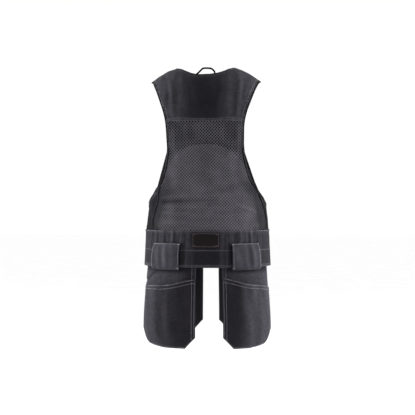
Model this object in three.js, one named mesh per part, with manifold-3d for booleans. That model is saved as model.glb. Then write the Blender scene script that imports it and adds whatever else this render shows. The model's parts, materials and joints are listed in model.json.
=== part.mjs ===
// A sleeveless utility work vest with an air-mesh back, a woven yoke, a deep hem band and four hanging holster pockets.
// Millimetres, +Z up. The wearer faces -Y, and the wearer's left side is +X.
// The origin is midway between the two shoulders, at the height where the vest rests on them beside the neck.
import * as THREE from 'three';
import Module from 'manifold-3d';
import { mergeVertices } from 'three/addons/utils/BufferGeometryUtils.js';

// The body that the vest is worn on: a rounded tube with a crown over the shoulders.
const BODY_LENGTH = 676; // from the shoulder ridge down to the hem
const HEM_HALF_WIDTH = 217;
const HEM_HALF_DEPTH = 137;
const SQUARENESS = 0.87; // 1 is an ellipse in plan, and less is squarer
const CROWN_HEIGHT = 110; // the part of the body that rounds over into the shoulder
const CROWN_RUN = 165; // the same, measured along the cloth
const LEAN = 5; // how far the shoulders sway towards the wearer's left

// Cloth
const CLOTH = 1.4;
const BAND_CLOTH = 2.4;
const SEAM_GAP = 0.8; // between pieces that are sewn edge to edge
const EDGE_GAP = 1.7; // between a binding and the cloth that it edges
const LAYER_GAP = 0.5; // between pieces that lie on each other
const MESH_LAYER_GAP = 1.3; // between the two layers of mesh
const TUCK_GAP = 0.9; // between the band and the holsters sewn inside it

// Shoulders, neck and armholes
const SHOULDER_HALF_WIDTH = 190;
const SHOULDER_DROP = 47;
const NECK_HALF_WIDTH = 97;
const BACK_NECK_DROP = 84; // along the cloth, from the ridge to the centre of the back neck
const FRONT_NECK_DROP = 290; // along the cloth, from the ridge to the top of the zip
const ARMHOLE_BOTTOM = 470; // below the ridge
const ARMHOLE_LOWEST_ANGLE = 93;
const BINDING_WIDTH = 9;
const BINDING_THICKNESS = 3;

// Yoke, mesh back, band and zip
const YOKE_SEAM = 190; // below the ridge
const BAND_HEIGHT = 116;
const SIDE_SEAM_ANGLE = 88; // where the band's back piece ends
const FRONT_SEAM_ANGLE = 122; // where a side panel meets a front panel
const ZIP_WIDTH = 22; // with the narrow strip of facing beside the teeth
const ZIP_THICKNESS = 3;
const SLIDER_LENGTH = 24;
const SLIDER_WIDTH = 9;
const SLIDER_THICKNESS = 4;
const ARCH_PEAK = 272; // below the ridge, the top of the second layer of mesh
const ARCH_FOOT = 350;

// Patch at the centre of the band
const PATCH_WIDTH = 88;
const PATCH_HEIGHT = 48;
const PATCH_THICKNESS = 1;

// Wide belt loops on the back of the band
const LOOP_INNER_REACH = 84; // from the centre of the back to the loop's inner edge
const LOOP_OUTER_REACH = 169;
const LOOP_HEIGHT = 86;
const LOOP_BELOW_HEM = 7;
const LOOP_STANDOFF = 11; // the room for a belt
const LOOP_CLOTH = 2;

// Holster pockets
const HOLSTER_DROP = 263; // from the hem to the pocket's bottom
const HOLSTER_TUCK = 20; // how far the backing reaches up inside the band
const HOLSTER_CHAMFER = 36; // at the corner nearer the centre
const HOLSTER_SIDE_CHAMFER = 48;
const POUCH_BULGE = 17;

// Hanger loop inside the back neck
const HANGER_WIDTH = 6;
const HANGER_TAPE = 1.4;
const HANGER_RISE = 23;
const HANGER_TUCK = 9;
const HANGER_LEFT_REACH = 29;
const HANGER_RIGHT_REACH = 31;

// The body's sections. drop is a share of BODY_LENGTH, width of HEM_HALF_WIDTH, back and front of HEM_HALF_DEPTH.
const SECTIONS = [
  { drop: 0.0, width: 0.977, back: 0.76, front: 0.74 },
  { drop: 0.25, width: 0.968, back: 0.8, front: 0.8 },
  { drop: 0.45, width: 0.935, back: 0.84, front: 0.85 },
  { drop: 0.65, width: 0.926, back: 0.89, front: 0.9 },
  { drop: 0.84, width: 0.972, back: 0.96, front: 0.96 },
  { drop: 1.0, width: 1.0, back: 1.0, front: 1.0 },
  { drop: 1.28, width: 1.06, back: 1.02, front: 1.02 },
  { drop: 1.45, width: 1.055, back: 1.02, front: 1.02 },
];

// An armhole's two edges. drop is a share of ARMHOLE_BOTTOM, and back and front are shares of SHOULDER_HALF_WIDTH.
const ARMHOLE = [
  { drop: 0.13, back: 0.926, front: 0.91 },
  { drop: 0.266, back: 0.8, front: 0.775 },
  { drop: 0.398, back: 0.705, front: 0.69 },
  { drop: 0.53, back: 0.677, front: 0.665 },
  { drop: 0.696, back: 0.703, front: 0.69 },
  { drop: 0.843, back: 0.815, front: 0.8 },
  { drop: 0.945, back: 1.0, front: 0.985 },
];

// Where the mesh back meets the side panels, on the wearer's left and right.
// drop is a share of BODY_LENGTH, and the angles are degrees round the body from the centre of the back.
const MESH_SEAM = [
  { drop: 0.5, left: 42, right: 48 },
  { drop: 0.6, left: 49.5, right: 58 },
  { drop: 0.68, left: 55, right: 68 },
  { drop: 0.75, left: 59.5, right: 74 },
  { drop: 0.8, left: 60, right: 75 },
  { drop: 0.83, left: 57, right: 72 },
];

// Soft folds. angle and spread are degrees, top and bottom shares of BODY_LENGTH, and depth a share of FOLD_DEPTH.
// On the band they only stand outwards, so what is sewn inside it or on it clears them.
const FOLD_DEPTH = 1.6;
const FOLDS = [
  { angle: 19, spread: 2.6, top: 0.8, bottom: 1.0, depth: 0.8 },
  { angle: 27, spread: 2.6, top: 0.81, bottom: 1.0, depth: 1.0 },
  { angle: 39, spread: 2.8, top: 0.8, bottom: 1.0, depth: 0.9 },
  { angle: -18, spread: 2.8, top: 0.8, bottom: 1.0, depth: 0.9 },
  { angle: -28, spread: 2.8, top: 0.81, bottom: 1.0, depth: 1.0 },
  { angle: -41, spread: 3.0, top: 0.8, bottom: 1.0, depth: 0.8 },
  { angle: -15, spread: 6, top: 0.06, bottom: 0.5, depth: 1.6 },
  { angle: 16, spread: 6, top: 0.06, bottom: 0.5, depth: 1.4 },
];

// Each holster's span round the body in degrees, its length below the hem, and how far its mouth hangs below the hem
// at its end nearer the centre, its middle and its end nearer the side. All but the span are shares of HOLSTER_DROP.
const HOLSTERS = [
  { name: 'back_left', from: 6.4, to: 67, length: 1, near: 0.137, middle: 0.217, side: 0.245 },
  { name: 'back_right', from: -68, to: -11.5, length: 1, near: 0.12, middle: 0.205, side: 0.262 },
  { name: 'front_left', from: 111, to: 176, length: 0.965, near: 0.14, middle: 0.21, side: 0.25 },
  { name: 'front_right', from: -173, to: -111, length: 0.965, near: 0.14, middle: 0.21, side: 0.25 },
];

const CANVAS = new THREE.MeshStandardMaterial({ color: 0x36353a, roughness: 0.92, metalness: 0 });
const MESH_KNIT = new THREE.MeshStandardMaterial({ color: 0x4b4a50, roughness: 0.85, metalness: 0 });
const LINING = new THREE.MeshStandardMaterial({ color: 0x414046, roughness: 0.9, metalness: 0 });
const TAPE = new THREE.MeshStandardMaterial({ color: 0x232326, roughness: 0.8, metalness: 0 });
const PATCH = new THREE.MeshStandardMaterial({ color: 0x1e1c1e, roughness: 0.7, metalness: 0 });
const NYLON = new THREE.MeshStandardMaterial({ color: 0x1a1a1c, roughness: 0.5, metalness: 0 });

const wasm = await Module();
wasm.setup();

// A smooth function through a table's rows, from the column `key` to the column `value`.
function through(rows, key, value) {
  const slope = (i) => {
    const before = rows[Math.max(i - 1, 0)];
    const after = rows[Math.min(i + 1, rows.length - 1)];
    return (after[value] - before[value]) / (after[key] - before[key]);
  };
  return (at) => {
    const last = rows.length - 1;
    if (at <= rows[0][key]) return rows[0][value];
    if (at >= rows[last][key]) return rows[last][value];
    const i = rows.findIndex((row, n) => n < last && at <= rows[n + 1][key]);
    const width = rows[i + 1][key] - rows[i][key];
    const t = (at - rows[i][key]) / width;
    const hermite = [2 * t ** 3 - 3 * t ** 2 + 1, t ** 3 - 2 * t ** 2 + t, 3 * t ** 2 - 2 * t ** 3, t ** 3 - t ** 2];
    return (
      hermite[0] * rows[i][value] +
      hermite[1] * width * slope(i) +
      hermite[2] * rows[i + 1][value] +
      hermite[3] * width * slope(i + 1)
    );
  };
}

const widthShare = through(SECTIONS, 'drop', 'width');
const backShare = through(SECTIONS, 'drop', 'back');
const frontShare = through(SECTIONS, 'drop', 'front');
const halfWidth = (z) => HEM_HALF_WIDTH * widthShare(-z / BODY_LENGTH);
const halfDepth = (z, back) => HEM_HALF_DEPTH * (back ? backShare : frontShare)(-z / BODY_LENGTH);

const radians = THREE.MathUtils.degToRad;
const power = (value) => Math.sign(value) * Math.abs(value) ** SQUARENESS;
const sideways = (angle) => power(Math.sin(radians(angle)));
const backwards = (angle) => power(Math.cos(radians(angle)));

// The angle, on the back half, at which the body is `reach` from its middle plane.
function angleAtReach(reach, z) {
  const share = THREE.MathUtils.clamp(reach / halfWidth(z), -1, 1);
  return THREE.MathUtils.radToDeg(Math.asin(Math.sign(share) * Math.abs(share) ** (1 / SQUARENESS)));
}

function ridgeDrop(reach) {
  const beyond = Math.max(Math.abs(reach) - NECK_HALF_WIDTH, 0) / (SHOULDER_HALF_WIDTH - NECK_HALF_WIDTH);
  return SHOULDER_DROP * beyond ** 1.45;
}

// A place on the cloth is an angle round the body and a run: the height below the crown, and above that the length
// along the cloth. springRun is where the crown begins, and ridgeRun where it reaches the shoulder ridge.
const springRun = (angle) => -ridgeDrop(halfWidth(0) * sideways(angle)) - CROWN_HEIGHT;
const ridgeRun = (angle) => springRun(angle) + CROWN_RUN;

function bodyPoint(angle, run) {
  const spring = springRun(angle);
  const z = Math.min(run, spring);
  const turn = radians((90 * Math.max(run - spring, 0)) / CROWN_RUN);
  const lean = LEAN * THREE.MathUtils.smoothstep(z, -0.6 * BODY_LENGTH, -0.25 * BODY_LENGTH);
  return new THREE.Vector3(
    halfWidth(z) * sideways(angle) + lean,
    halfDepth(z, Math.cos(radians(angle)) >= 0) * backwards(angle) * Math.cos(turn),
    z + CROWN_HEIGHT * Math.sin(turn),
  );
}

function foldLift(angle, run) {
  const drop = -run / BODY_LENGTH;
  return FOLDS.reduce((sum, fold) => {
    const middle = (fold.top + fold.bottom) / 2;
    const reach = (fold.bottom - fold.top) / 2;
    const along = Math.max(1 - ((drop - middle) / reach) ** 4, 0);
    return sum + FOLD_DEPTH * fold.depth * along * Math.exp(-(((angle - fold.angle) / fold.spread) ** 2));
  }, 0);
}

const STEP = 0.4; // of a degree and of a millimetre, for slopes
function slopes(point, angle, run) {
  const across = point(angle + STEP, run).sub(point(angle - STEP, run)).divideScalar(2 * STEP);
  const up = point(angle, run + STEP).sub(point(angle, run - STEP)).divideScalar(2 * STEP);
  return { across, up, normal: up.clone().cross(across).normalize() };
}

function clothPoint(angle, run) {
  const { normal } = slopes(bodyPoint, angle, run);
  return bodyPoint(angle, run).addScaledVector(normal, foldLift(angle, run));
}

// The place on a surface, raised from it by `lift`. Without a surface it is the cloth with its folds.
function raised(angle, run, lift, surface = clothPoint) {
  return surface(angle, run).addScaledVector(slopes(surface, angle, run).normal, lift);
}

// One closed solid from its points and triangles, with its faces pointing out.
function closed(points, triangles) {
  const volume = triangles.reduce(
    (sum, [a, b, c]) => sum + points[a].dot(new THREE.Vector3().crossVectors(points[b], points[c])),
    0,
  );
  const geometry = new THREE.BufferGeometry();
  geometry.setAttribute('position', new THREE.Float32BufferAttribute(points.flatMap((p) => p.toArray()), 3));
  geometry.setIndex(triangles.flatMap(([a, b, c]) => (volume > 0 ? [a, b, c] : [a, c, b])));
  geometry.computeVertexNormals();
  return geometry;
}

function named(name, geometry, material) {
  const mesh = new THREE.Mesh(geometry, material);
  mesh.name = name;
  return mesh;
}

// A wall of cloth between a left and a right edge, each an angle for a run, and a bottom and a top edge, each a run
// for an angle. inner and outer are its two faces' lifts, as numbers or as functions of the shares across and up.
function wall({ left, right, bottom, top, across, up, inner, outer, surface = clothPoint }) {
  const angleAt = (share, run) => left(run) + (right(run) - left(run)) * share;
  const meet = (edge, share) =>
    turningPoint((run) => run < edge(angleAt(share, run)), -2 * BODY_LENGTH, CROWN_RUN);
  const lift = (face, u, v) => (typeof face === 'function' ? face(u, v) : face);
  const points = [[], []];
  for (const share of across) {
    const [low, high] = [meet(bottom, share), meet(top, share)];
    for (const rise of up) {
      const run = low + (high - low) * rise;
      points[0].push(raised(angleAt(share, run), run, lift(outer, share, rise), surface));
      points[1].push(raised(angleAt(share, run), run, lift(inner, share, rise), surface));
    }
  }
  const rows = up.length;
  const half = points[0].length;
  const at = (face, i, j) => face * half + i * rows + j;
  const triangles = [];
  const quad = (a, b, c, d) => triangles.push([a, b, c], [a, c, d]);
  for (let i = 0; i + 1 < across.length; i += 1) {
    for (let j = 0; j + 1 < rows; j += 1) {
      quad(at(0, i, j), at(0, i, j + 1), at(0, i + 1, j + 1), at(0, i + 1, j));
      quad(at(1, i, j), at(1, i + 1, j), at(1, i + 1, j + 1), at(1, i, j + 1));
    }
    quad(at(0, i, 0), at(0, i + 1, 0), at(1, i + 1, 0), at(1, i, 0));
    quad(at(0, i, rows - 1), at(1, i, rows - 1), at(1, i + 1, rows - 1), at(0, i + 1, rows - 1));
  }
  const last = across.length - 1;
  for (let j = 0; j + 1 < rows; j += 1) {
    quad(at(0, 0, j), at(1, 0, j), at(1, 0, j + 1), at(0, 0, j + 1));
    quad(at(0, last, j), at(0, last, j + 1), at(1, last, j + 1), at(1, last, j));
  }
  return closed([...points[0], ...points[1]], triangles);
}

const even = (count) => Array.from({ length: count + 1 }, (_, i) => i / count);
const fixed = (value) => () => value;

// A solid swept along frames of { point, inward, normal }, with a section of [inward, normal] corners.
function swept(frames, section, loops) {
  const corners = section.length;
  const points = frames.flatMap(({ point, inward, normal }) =>
    section.map(([a, n]) => point.clone().addScaledVector(inward, a).addScaledVector(normal, n)),
  );
  const triangles = [];
  const spans = loops ? frames.length : frames.length - 1;
  for (let i = 0; i < spans; i += 1) {
    const next = (i + 1) % frames.length;
    for (let k = 0; k < corners; k += 1) {
      const other = (k + 1) % corners;
      const [a, b] = [i * corners + k, i * corners + other];
      const [c, d] = [next * corners + other, next * corners + k];
      triangles.push([a, b, c], [a, c, d]);
    }
  }
  if (!loops) {
    const flat = THREE.ShapeUtils.triangulateShape(section.map(([a, n]) => new THREE.Vector2(a, n)), []);
    const turned = THREE.ShapeUtils.area(section.map(([a, n]) => new THREE.Vector2(a, n))) < 0;
    const end = (frames.length - 1) * corners;
    for (const [a, b, c] of flat) {
      const order = turned ? [a, b, c] : [a, c, b];
      triangles.push(order, [order[0] + end, order[2] + end, order[1] + end]);
    }
  }
  return closed(points, triangles);
}

// Frames along places on the cloth. side says on which side of the way along them the cloth lies.
function framesAlong(places, side, loops) {
  const points = places.map(({ angle, run }) => clothPoint(angle, run));
  const count = points.length;
  return places.map(({ angle, run }, i) => {
    const before = points[loops ? (i + count - 1) % count : Math.max(i - 1, 0)];
    const after = points[loops ? (i + 1) % count : Math.min(i + 1, count - 1)];
    const { normal } = slopes(clothPoint, angle, run);
    const inward = normal.clone().cross(after.clone().sub(before)).multiplyScalar(side).normalize();
    return { point: points[i], inward, normal };
  });
}

// The same places moved by `distance` over the cloth, to the side that the cloth lies on.
function inset(places, side, distance) {
  return places.map((place, i) => {
    const before = places[Math.max(i - 1, 0)];
    const after = places[Math.min(i + 1, places.length - 1)];
    const { across, up } = slopes(clothPoint, place.angle, place.run);
    const [along, rise] = [after.angle - before.angle, after.run - before.run];
    const [ee, ff, gg] = [across.dot(across), across.dot(up), up.dot(up)];
    const [turn, lift] = [ff * along + gg * rise, -(ee * along + ff * rise)];
    const length = Math.sqrt(ee * turn * turn + 2 * ff * turn * lift + gg * lift * lift);
    const share = (side * distance) / length;
    return { angle: place.angle + turn * share, run: place.run + lift * share };
  });
}

// A broken line through places, as a function from one of their two numbers to the other. It is level past its ends.
function lineThrough(places, key, value) {
  const rows = [...places].sort((a, b) => a[key] - b[key]);
  return (at) => {
    if (at <= rows[0][key]) return rows[0][value];
    const i = rows.findIndex((row) => row[key] >= at);
    if (i < 0) return rows.at(-1)[value];
    const [a, b] = [rows[i - 1], rows[i]];
    return a[value] + ((b[value] - a[value]) * (at - a[key])) / (b[key] - a[key]);
  };
}

// The run between `low` and `high` at which `test` stops being true.
function turningPoint(test, low, high) {
  for (let i = 0; i < 40; i += 1) {
    const middle = (low + high) / 2;
    if (test(middle)) low = middle;
    else high = middle;
  }
  return (low + high) / 2;
}

// An armhole's edge, from the shoulder ridge down the back, under the arm and up the front to the ridge.
function armholeEdge(side) {
  const edge = (column, turned) => {
    const tip = angleAtReach(SHOULDER_HALF_WIDTH, -SHOULDER_DROP - CROWN_HEIGHT);
    const start = { run: ridgeRun(tip), angle: tip };
    const rows = ARMHOLE.map((row) => {
      const run = -row.drop * ARMHOLE_BOTTOM;
      return { run, angle: angleAtReach(row[column] * SHOULDER_HALF_WIDTH, run) };
    });
    return [start, ...rows].map((row) => ({ ...row, angle: turned ? 180 - row.angle : row.angle }));
  };
  const lowest = { run: -ARMHOLE_BOTTOM, angle: ARMHOLE_LOWEST_ANGLE };
  const corners = [...edge('back', false), lowest, ...edge('front', true).reverse()];
  const curve = new THREE.CatmullRomCurve3(corners.map(({ angle, run }) => new THREE.Vector3(angle * 3, run, 0)));
  const spots = corners.length - 1;
  const count = 3 * spots;
  return Array.from({ length: count + 1 }, (_, i) => curve.getPoint(i / count)).map((p) => ({
    angle: (side * p.x) / 3,
    run: p.y,
  }));
}

// The neck's edge from the zip up the wearer's left, across the back and down the right.
function neckEdge() {
  const reachAt = (drop) => {
    const low = SEAM_GAP / 2;
    return NECK_HALF_WIDTH - (NECK_HALF_WIDTH - low) * (drop / FRONT_NECK_DROP) ** 1.35;
  };
  const front = even(14).map((share) => {
    const drop = FRONT_NECK_DROP * (1 - share);
    const angle = 180 - angleAtReach(reachAt(drop), -CROWN_HEIGHT);
    return { angle, run: ridgeRun(angle) - drop };
  });
  const back = even(20).slice(1, -1).map((share) => {
    const reach = Math.sin(radians(90 - 180 * share));
    const angle = angleAtReach(NECK_HALF_WIDTH * reach, -CROWN_HEIGHT);
    return { angle, run: ridgeRun(angle) - BACK_NECK_DROP * (1 - Math.abs(reach) ** 3.2) ** 0.8 };
  });
  const mirrored = front.map(({ angle, run }) => ({ angle: -angle, run })).reverse();
  return { front, back, places: [...front, ...back, ...mirrored] };
}

const PIECE_EDGE = BINDING_WIDTH + EDGE_GAP;
const BINDING_SECTION = [
  [0, -BINDING_THICKNESS / 2],
  [BINDING_WIDTH, -BINDING_THICKNESS / 2],
  [BINDING_WIDTH, BINDING_THICKNESS / 2],
  [0, BINDING_THICKNESS / 2],
];
const seamDegrees = (SEAM_GAP / 2 / HEM_HALF_WIDTH) * (180 / Math.PI);
const curvedSeamDegrees = 1.6 * seamDegrees;

// The edges that the pieces round an armhole share, as angles without their sign.
function armholeInset(side) {
  const places = inset(armholeEdge(side), side, PIECE_EDGE).map(({ angle, run }) => ({ angle: side * angle, run }));
  const lowest = places.reduce((best, place, i) => (place.run < places[best].run ? i : best), 0);
  return {
    back: lineThrough(places.slice(0, lowest + 1), 'run', 'angle'),
    front: lineThrough(places.slice(lowest), 'run', 'angle'),
    under: lineThrough(places.filter(({ run }) => run < -0.6 * ARMHOLE_BOTTOM), 'angle', 'run'),
    bottom: places[lowest].run,
  };
}
const armholes = { left: armholeInset(1), right: armholeInset(-1) };

function meshSeam(side) {
  const column = side > 0 ? 'left' : 'right';
  const seam = through(MESH_SEAM, 'drop', column);
  const hole = armholes[column];
  return (run) => {
    const sewn = seam(-run / BODY_LENGTH);
    return run < hole.bottom ? sewn : Math.min(sewn, hole.back(run));
  };
}
const seams = { left: meshSeam(1), right: meshSeam(-1) };

const bandTop = BAND_HEIGHT - BODY_LENGTH;

// Even shares with more of them put in between, in order and none twice.
function rows(count, extra) {
  const near = 0.35 / count;
  const spare = even(count).filter((share) => extra.every((other) => Math.abs(share - other) > near));
  return [...spare, ...extra].sort((a, b) => a - b);
}
const cloth = (lift = 0, thick = CLOTH) => ({ inner: lift - thick / 2, outer: lift + thick / 2 });

function yoke() {
  const neck = inset(neckEdge().back, -1, PIECE_EDGE);
  const neckLine = lineThrough(neck, 'angle', 'run');
  const neckPoint = angleAtReach(NECK_HALF_WIDTH + PIECE_EDGE, -CROWN_HEIGHT);
  const open = neckPoint / armholes.left.back(ridgeRun(neckPoint));
  const spread = (share) => 0.5 + 0.5 * open * Math.sin((Math.PI / 2) * share);
  const middle = even(14).map((share) => spread(2 * share - 1));
  const outer = even(5).slice(1).map((share) => 0.5 + 0.5 * (open + (1 - open) * share));
  return wall({
    left: (run) => -armholes.right.back(run),
    right: (run) => armholes.left.back(run),
    bottom: fixed(SEAM_GAP / 2 - YOKE_SEAM),
    top: (angle) => {
      const ridge = ridgeRun(angle) - SEAM_GAP / 2;
      return Math.abs(angle) < neckPoint ? Math.min(neckLine(angle), ridge) : ridge;
    },
    across: [...outer.map((share) => 1 - share).reverse(), ...middle, ...outer],
    up: even(9),
    ...cloth(),
  });
}

function meshBack() {
  const [low, high] = [bandTop + SEAM_GAP / 2, -YOKE_SEAM - SEAM_GAP / 2];
  const corners = ['left', 'right'].map((column) => {
    const sewn = through(MESH_SEAM, 'drop', column);
    return turningPoint((run) => sewn(-run / BODY_LENGTH) < armholes[column].back(run), low, high);
  });
  return wall({
    left: (run) => -seams.right(run) + curvedSeamDegrees,
    right: (run) => seams.left(run) - curvedSeamDegrees,
    bottom: fixed(low),
    top: fixed(high),
    across: even(24),
    up: rows(15, corners.map((run) => (run - low) / (high - low))),
    ...cloth(),
  });
}

// The second layer of mesh, inside the first, whose top edge is an arch.
function archedLayer() {
  const margin = 3 * seamDegrees;
  const arch = (angle) => {
    const foot = angle > 0 ? seams.left(-ARCH_FOOT) : seams.right(-ARCH_FOOT);
    const share = Math.min(Math.abs(angle) / foot, 1);
    return -ARCH_PEAK - (ARCH_FOOT - ARCH_PEAK) * share ** 2;
  };
  return wall({
    left: (run) => -seams.right(run) + margin,
    right: (run) => seams.left(run) - margin,
    bottom: fixed(bandTop + SEAM_GAP),
    top: arch,
    across: even(24),
    up: even(7),
    ...cloth(-CLOTH - MESH_LAYER_GAP),
  });
}

// A side panel, under an armhole, from the mesh back round to the front panel.
function sidePanel(side) {
  const column = side > 0 ? 'left' : 'right';
  const back = (run) => seams[column](run) + curvedSeamDegrees;
  const front = fixed(FRONT_SEAM_ANGLE - seamDegrees);
  return wall({
    left: side > 0 ? back : (run) => -front(run),
    right: side > 0 ? front : (run) => -back(run),
    bottom: fixed(bandTop + SEAM_GAP / 2),
    top: (angle) => armholes[column].under(Math.abs(angle)),
    across: even(9),
    up: even(6),
    ...cloth(),
  });
}

// A front panel, from the zip and the neck to the armhole and the side panel.
function frontPanel(side) {
  const column = side > 0 ? 'left' : 'right';
  const neck = lineThrough(inset(neckEdge().front, -1, PIECE_EDGE), 'run', 'angle');
  const zipEdge = (run) => 180 - angleAtReach(ZIP_WIDTH / 2 + SEAM_GAP, Math.min(run, -CROWN_HEIGHT));
  const inner = (run) => Math.min(zipEdge(run), neck(Math.max(run, ridgeRun(180) - FRONT_NECK_DROP)));
  const seam = FRONT_SEAM_ANGLE + seamDegrees;
  const hole = armholes[column];
  const outer = (run) => (run < hole.bottom ? seam : Math.max(seam, hole.front(run)));
  const low = bandTop + SEAM_GAP / 2;
  const corner = turningPoint((run) => run < hole.bottom || hole.front(run) < seam, low, 0);
  const length = ridgeRun(outer(0)) - low;
  return wall({
    left: side > 0 ? outer : (run) => -inner(run),
    right: side > 0 ? inner : (run) => -outer(run),
    bottom: fixed(low),
    top: (angle) => ridgeRun(angle) - SEAM_GAP / 2,
    across: even(8),
    up: rows(24, [(corner - low) / length]),
    ...cloth(),
  });
}

function band(from, to, columns) {
  return wall({
    left: from,
    right: to,
    bottom: fixed(-BODY_LENGTH),
    top: fixed(bandTop - SEAM_GAP / 2),
    across: even(columns),
    up: even(3),
    ...cloth(0, BAND_CLOTH),
  });
}

function frontBand(side) {
  const centre = (run) => 180 - angleAtReach(ZIP_WIDTH / 2 + SEAM_GAP, run);
  const edge = SIDE_SEAM_ANGLE + seamDegrees;
  return side > 0 ? band(fixed(edge), centre, 12) : band((run) => -centre(run), fixed(-edge), 12);
}

const asManifold = (geometry) => {
  const bare = geometry.clone();
  bare.deleteAttribute('normal');
  bare.deleteAttribute('uv');
  const merged = mergeVertices(bare, 1e-4);
  const mesh = new wasm.Mesh({
    numProp: 3,
    vertProperties: Float32Array.from(merged.attributes.position.array),
    triVerts: Uint32Array.from(merged.index.array),
  });
  mesh.merge();
  return new wasm.Manifold(mesh);
};

const fromManifold = (solid) => {
  const { vertProperties, triVerts } = solid.getMesh();
  const geometry = new THREE.BufferGeometry();
  geometry.setAttribute('position', new THREE.BufferAttribute(Float32Array.from(vertProperties), 3));
  geometry.setIndex(Array.from(triVerts));
  geometry.computeVertexNormals();
  return geometry;
};

// The front zip: one closed strip with its slider at the top.
function zip() {
  const top = ridgeRun(180) - FRONT_NECK_DROP - BINDING_WIDTH / 2;
  const reach = ZIP_WIDTH / 2;
  const edge = (run) => angleAtReach(reach, Math.min(run, -CROWN_HEIGHT));
  const strip = wall({
    left: (run) => 180 - edge(run),
    right: (run) => 180 + edge(run),
    bottom: fixed(-BODY_LENGTH),
    top: fixed(top - SEAM_GAP / 2),
    across: even(2),
    up: even(14),
    ...cloth(0, ZIP_THICKNESS),
  });
  const sliderRun = top - SLIDER_LENGTH;
  const slider = new THREE.BoxGeometry(SLIDER_WIDTH, SLIDER_THICKNESS, SLIDER_LENGTH);
  const { normal } = slopes(bodyPoint, 180, sliderRun);
  const centre = raised(180, sliderRun, ZIP_THICKNESS / 2 + SLIDER_THICKNESS / 4);
  slider.applyQuaternion(new THREE.Quaternion().setFromUnitVectors(new THREE.Vector3(0, -1, 0), normal));
  slider.translate(centre.x, centre.y, centre.z);
  return fromManifold(asManifold(strip).add(asManifold(slider)));
}

function patch() {
  const edge = (run) => angleAtReach(PATCH_WIDTH / 2, run);
  const face = BAND_CLOTH / 2 + LAYER_GAP;
  return wall({
    left: (run) => -edge(run),
    right: edge,
    bottom: fixed(bandTop - PATCH_HEIGHT - 3 * SEAM_GAP),
    top: fixed(bandTop - 3 * SEAM_GAP),
    across: even(8),
    up: even(2),
    inner: face,
    outer: face + PATCH_THICKNESS,
  });
}

// A wide belt loop: sewn flat along its top, standing off the band for a belt, and turned under the hem.
function beltLoop(side) {
  const [top, bottom] = [LOOP_HEIGHT - LOOP_BELOW_HEM - BODY_LENGTH, -BODY_LENGTH - LOOP_BELOW_HEM];
  const seat = BAND_CLOTH / 2 + FOLD_DEPTH + LAYER_GAP;
  const rise = (share) => top - LOOP_HEIGHT * share;
  const out = LOOP_STANDOFF + LOOP_CLOTH;
  // Corners of the loop's outer and inner faces, as a run and a lift.
  const outer = [
    [top, seat],
    [top, seat + LOOP_CLOTH],
    [rise(0.1), seat + 0.55 * out],
    [rise(0.3), seat + out],
    [rise(0.8), seat + out],
    [rise(0.97), seat + 0.7 * out],
    [bottom, seat],
  ];
  const inner = [
    [bottom + 2 * LOOP_CLOTH, seat],
    [rise(0.9), seat + 0.7 * out - LOOP_CLOTH],
    [rise(0.78), seat + LOOP_STANDOFF],
    [rise(0.32), seat + LOOP_STANDOFF],
    [rise(0.13), seat + 0.55 * out - LOOP_CLOTH],
    [rise(0.06), seat],
  ];
  const section = [...outer, ...inner];
  const [near, far] = [LOOP_INNER_REACH, LOOP_OUTER_REACH].map((reach) => angleAtReach(reach, top));
  const stations = even(9).map((share) => side * (near + (far - near) * share));
  const points = stations.flatMap((angle) => section.map(([run, lift]) => raised(angle, run, lift, bodyPoint)));
  const corners = section.length;
  const triangles = [];
  for (let i = 0; i + 1 < stations.length; i += 1) {
    for (let k = 0; k < corners; k += 1) {
      const other = (k + 1) % corners;
      const [a, b] = [i * corners + k, i * corners + other];
      triangles.push([a, b, b + corners], [a, b + corners, a + corners]);
    }
  }
  const contour = section.map(([run, lift]) => new THREE.Vector2(run, lift));
  const turned = THREE.ShapeUtils.area(contour) < 0;
  const end = (stations.length - 1) * corners;
  for (const [a, b, c] of THREE.ShapeUtils.triangulateShape(contour, [])) {
    const order = turned ? [a, b, c] : [a, c, b];
    triangles.push(order, [order[0] + end, order[2] + end, order[1] + end]);
  }
  return closed(points, triangles);
}

// A holster's outline: its two sides, its bottom with chamfered corners, and its mouth.
function holsterOutline({ from, to, length, near, middle, side }) {
  const toSide = Math.abs(to) < 90 === to > 0; // whether the span's far end is the one nearer the wearer's side
  const lowest = -BODY_LENGTH - HOLSTER_DROP * length;
  const heights = toSide ? [HOLSTER_CHAMFER, HOLSTER_SIDE_CHAMFER] : [HOLSTER_SIDE_CHAMFER, HOLSTER_CHAMFER];
  const cuts = [from, to].map((angle, i) => heights[i] / slopes(bodyPoint, angle, lowest).across.length());
  const shareOf = (angle) => THREE.MathUtils.clamp((angle - from) / (to - from), 0, 1);
  const outwards = (share) => (toSide ? share : 1 - share);
  const mouth = through(
    [
      { share: 0, drop: near },
      { share: 0.5, drop: middle },
      { share: 1, drop: side },
    ],
    'share',
    'drop',
  );
  return {
    left: fixed(from),
    right: fixed(to),
    bottom: (angle) => {
      const rise = (fromEnd, i) => heights[i] * Math.max(1 - fromEnd / cuts[i], 0);
      return lowest + rise(angle - from, 0) + rise(to - angle, 1);
    },
    mouth: (angle) => -BODY_LENGTH - HOLSTER_DROP * mouth(outwards(shareOf(angle))),
    chamfers: cuts.map((cut) => cut / (to - from)),
  };
}

function holsterColumns(outline) {
  const [a, b] = outline.chamfers;
  return [0, a / 2, ...even(8).map((share) => a + (1 - a - b) * share), 1 - b / 2, 1];
}

function holsterBacking(row) {
  const outline = holsterOutline(row);
  return wall({
    left: outline.left,
    right: outline.right,
    bottom: outline.bottom,
    top: fixed(HOLSTER_TUCK - BODY_LENGTH),
    across: holsterColumns(outline),
    up: [0, 0.12, 0.3, 0.5, 0.7, 0.86, 1],
    surface: bodyPoint,
    ...cloth(-BAND_CLOTH / 2 - TUCK_GAP - CLOTH / 2),
  });
}

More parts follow.
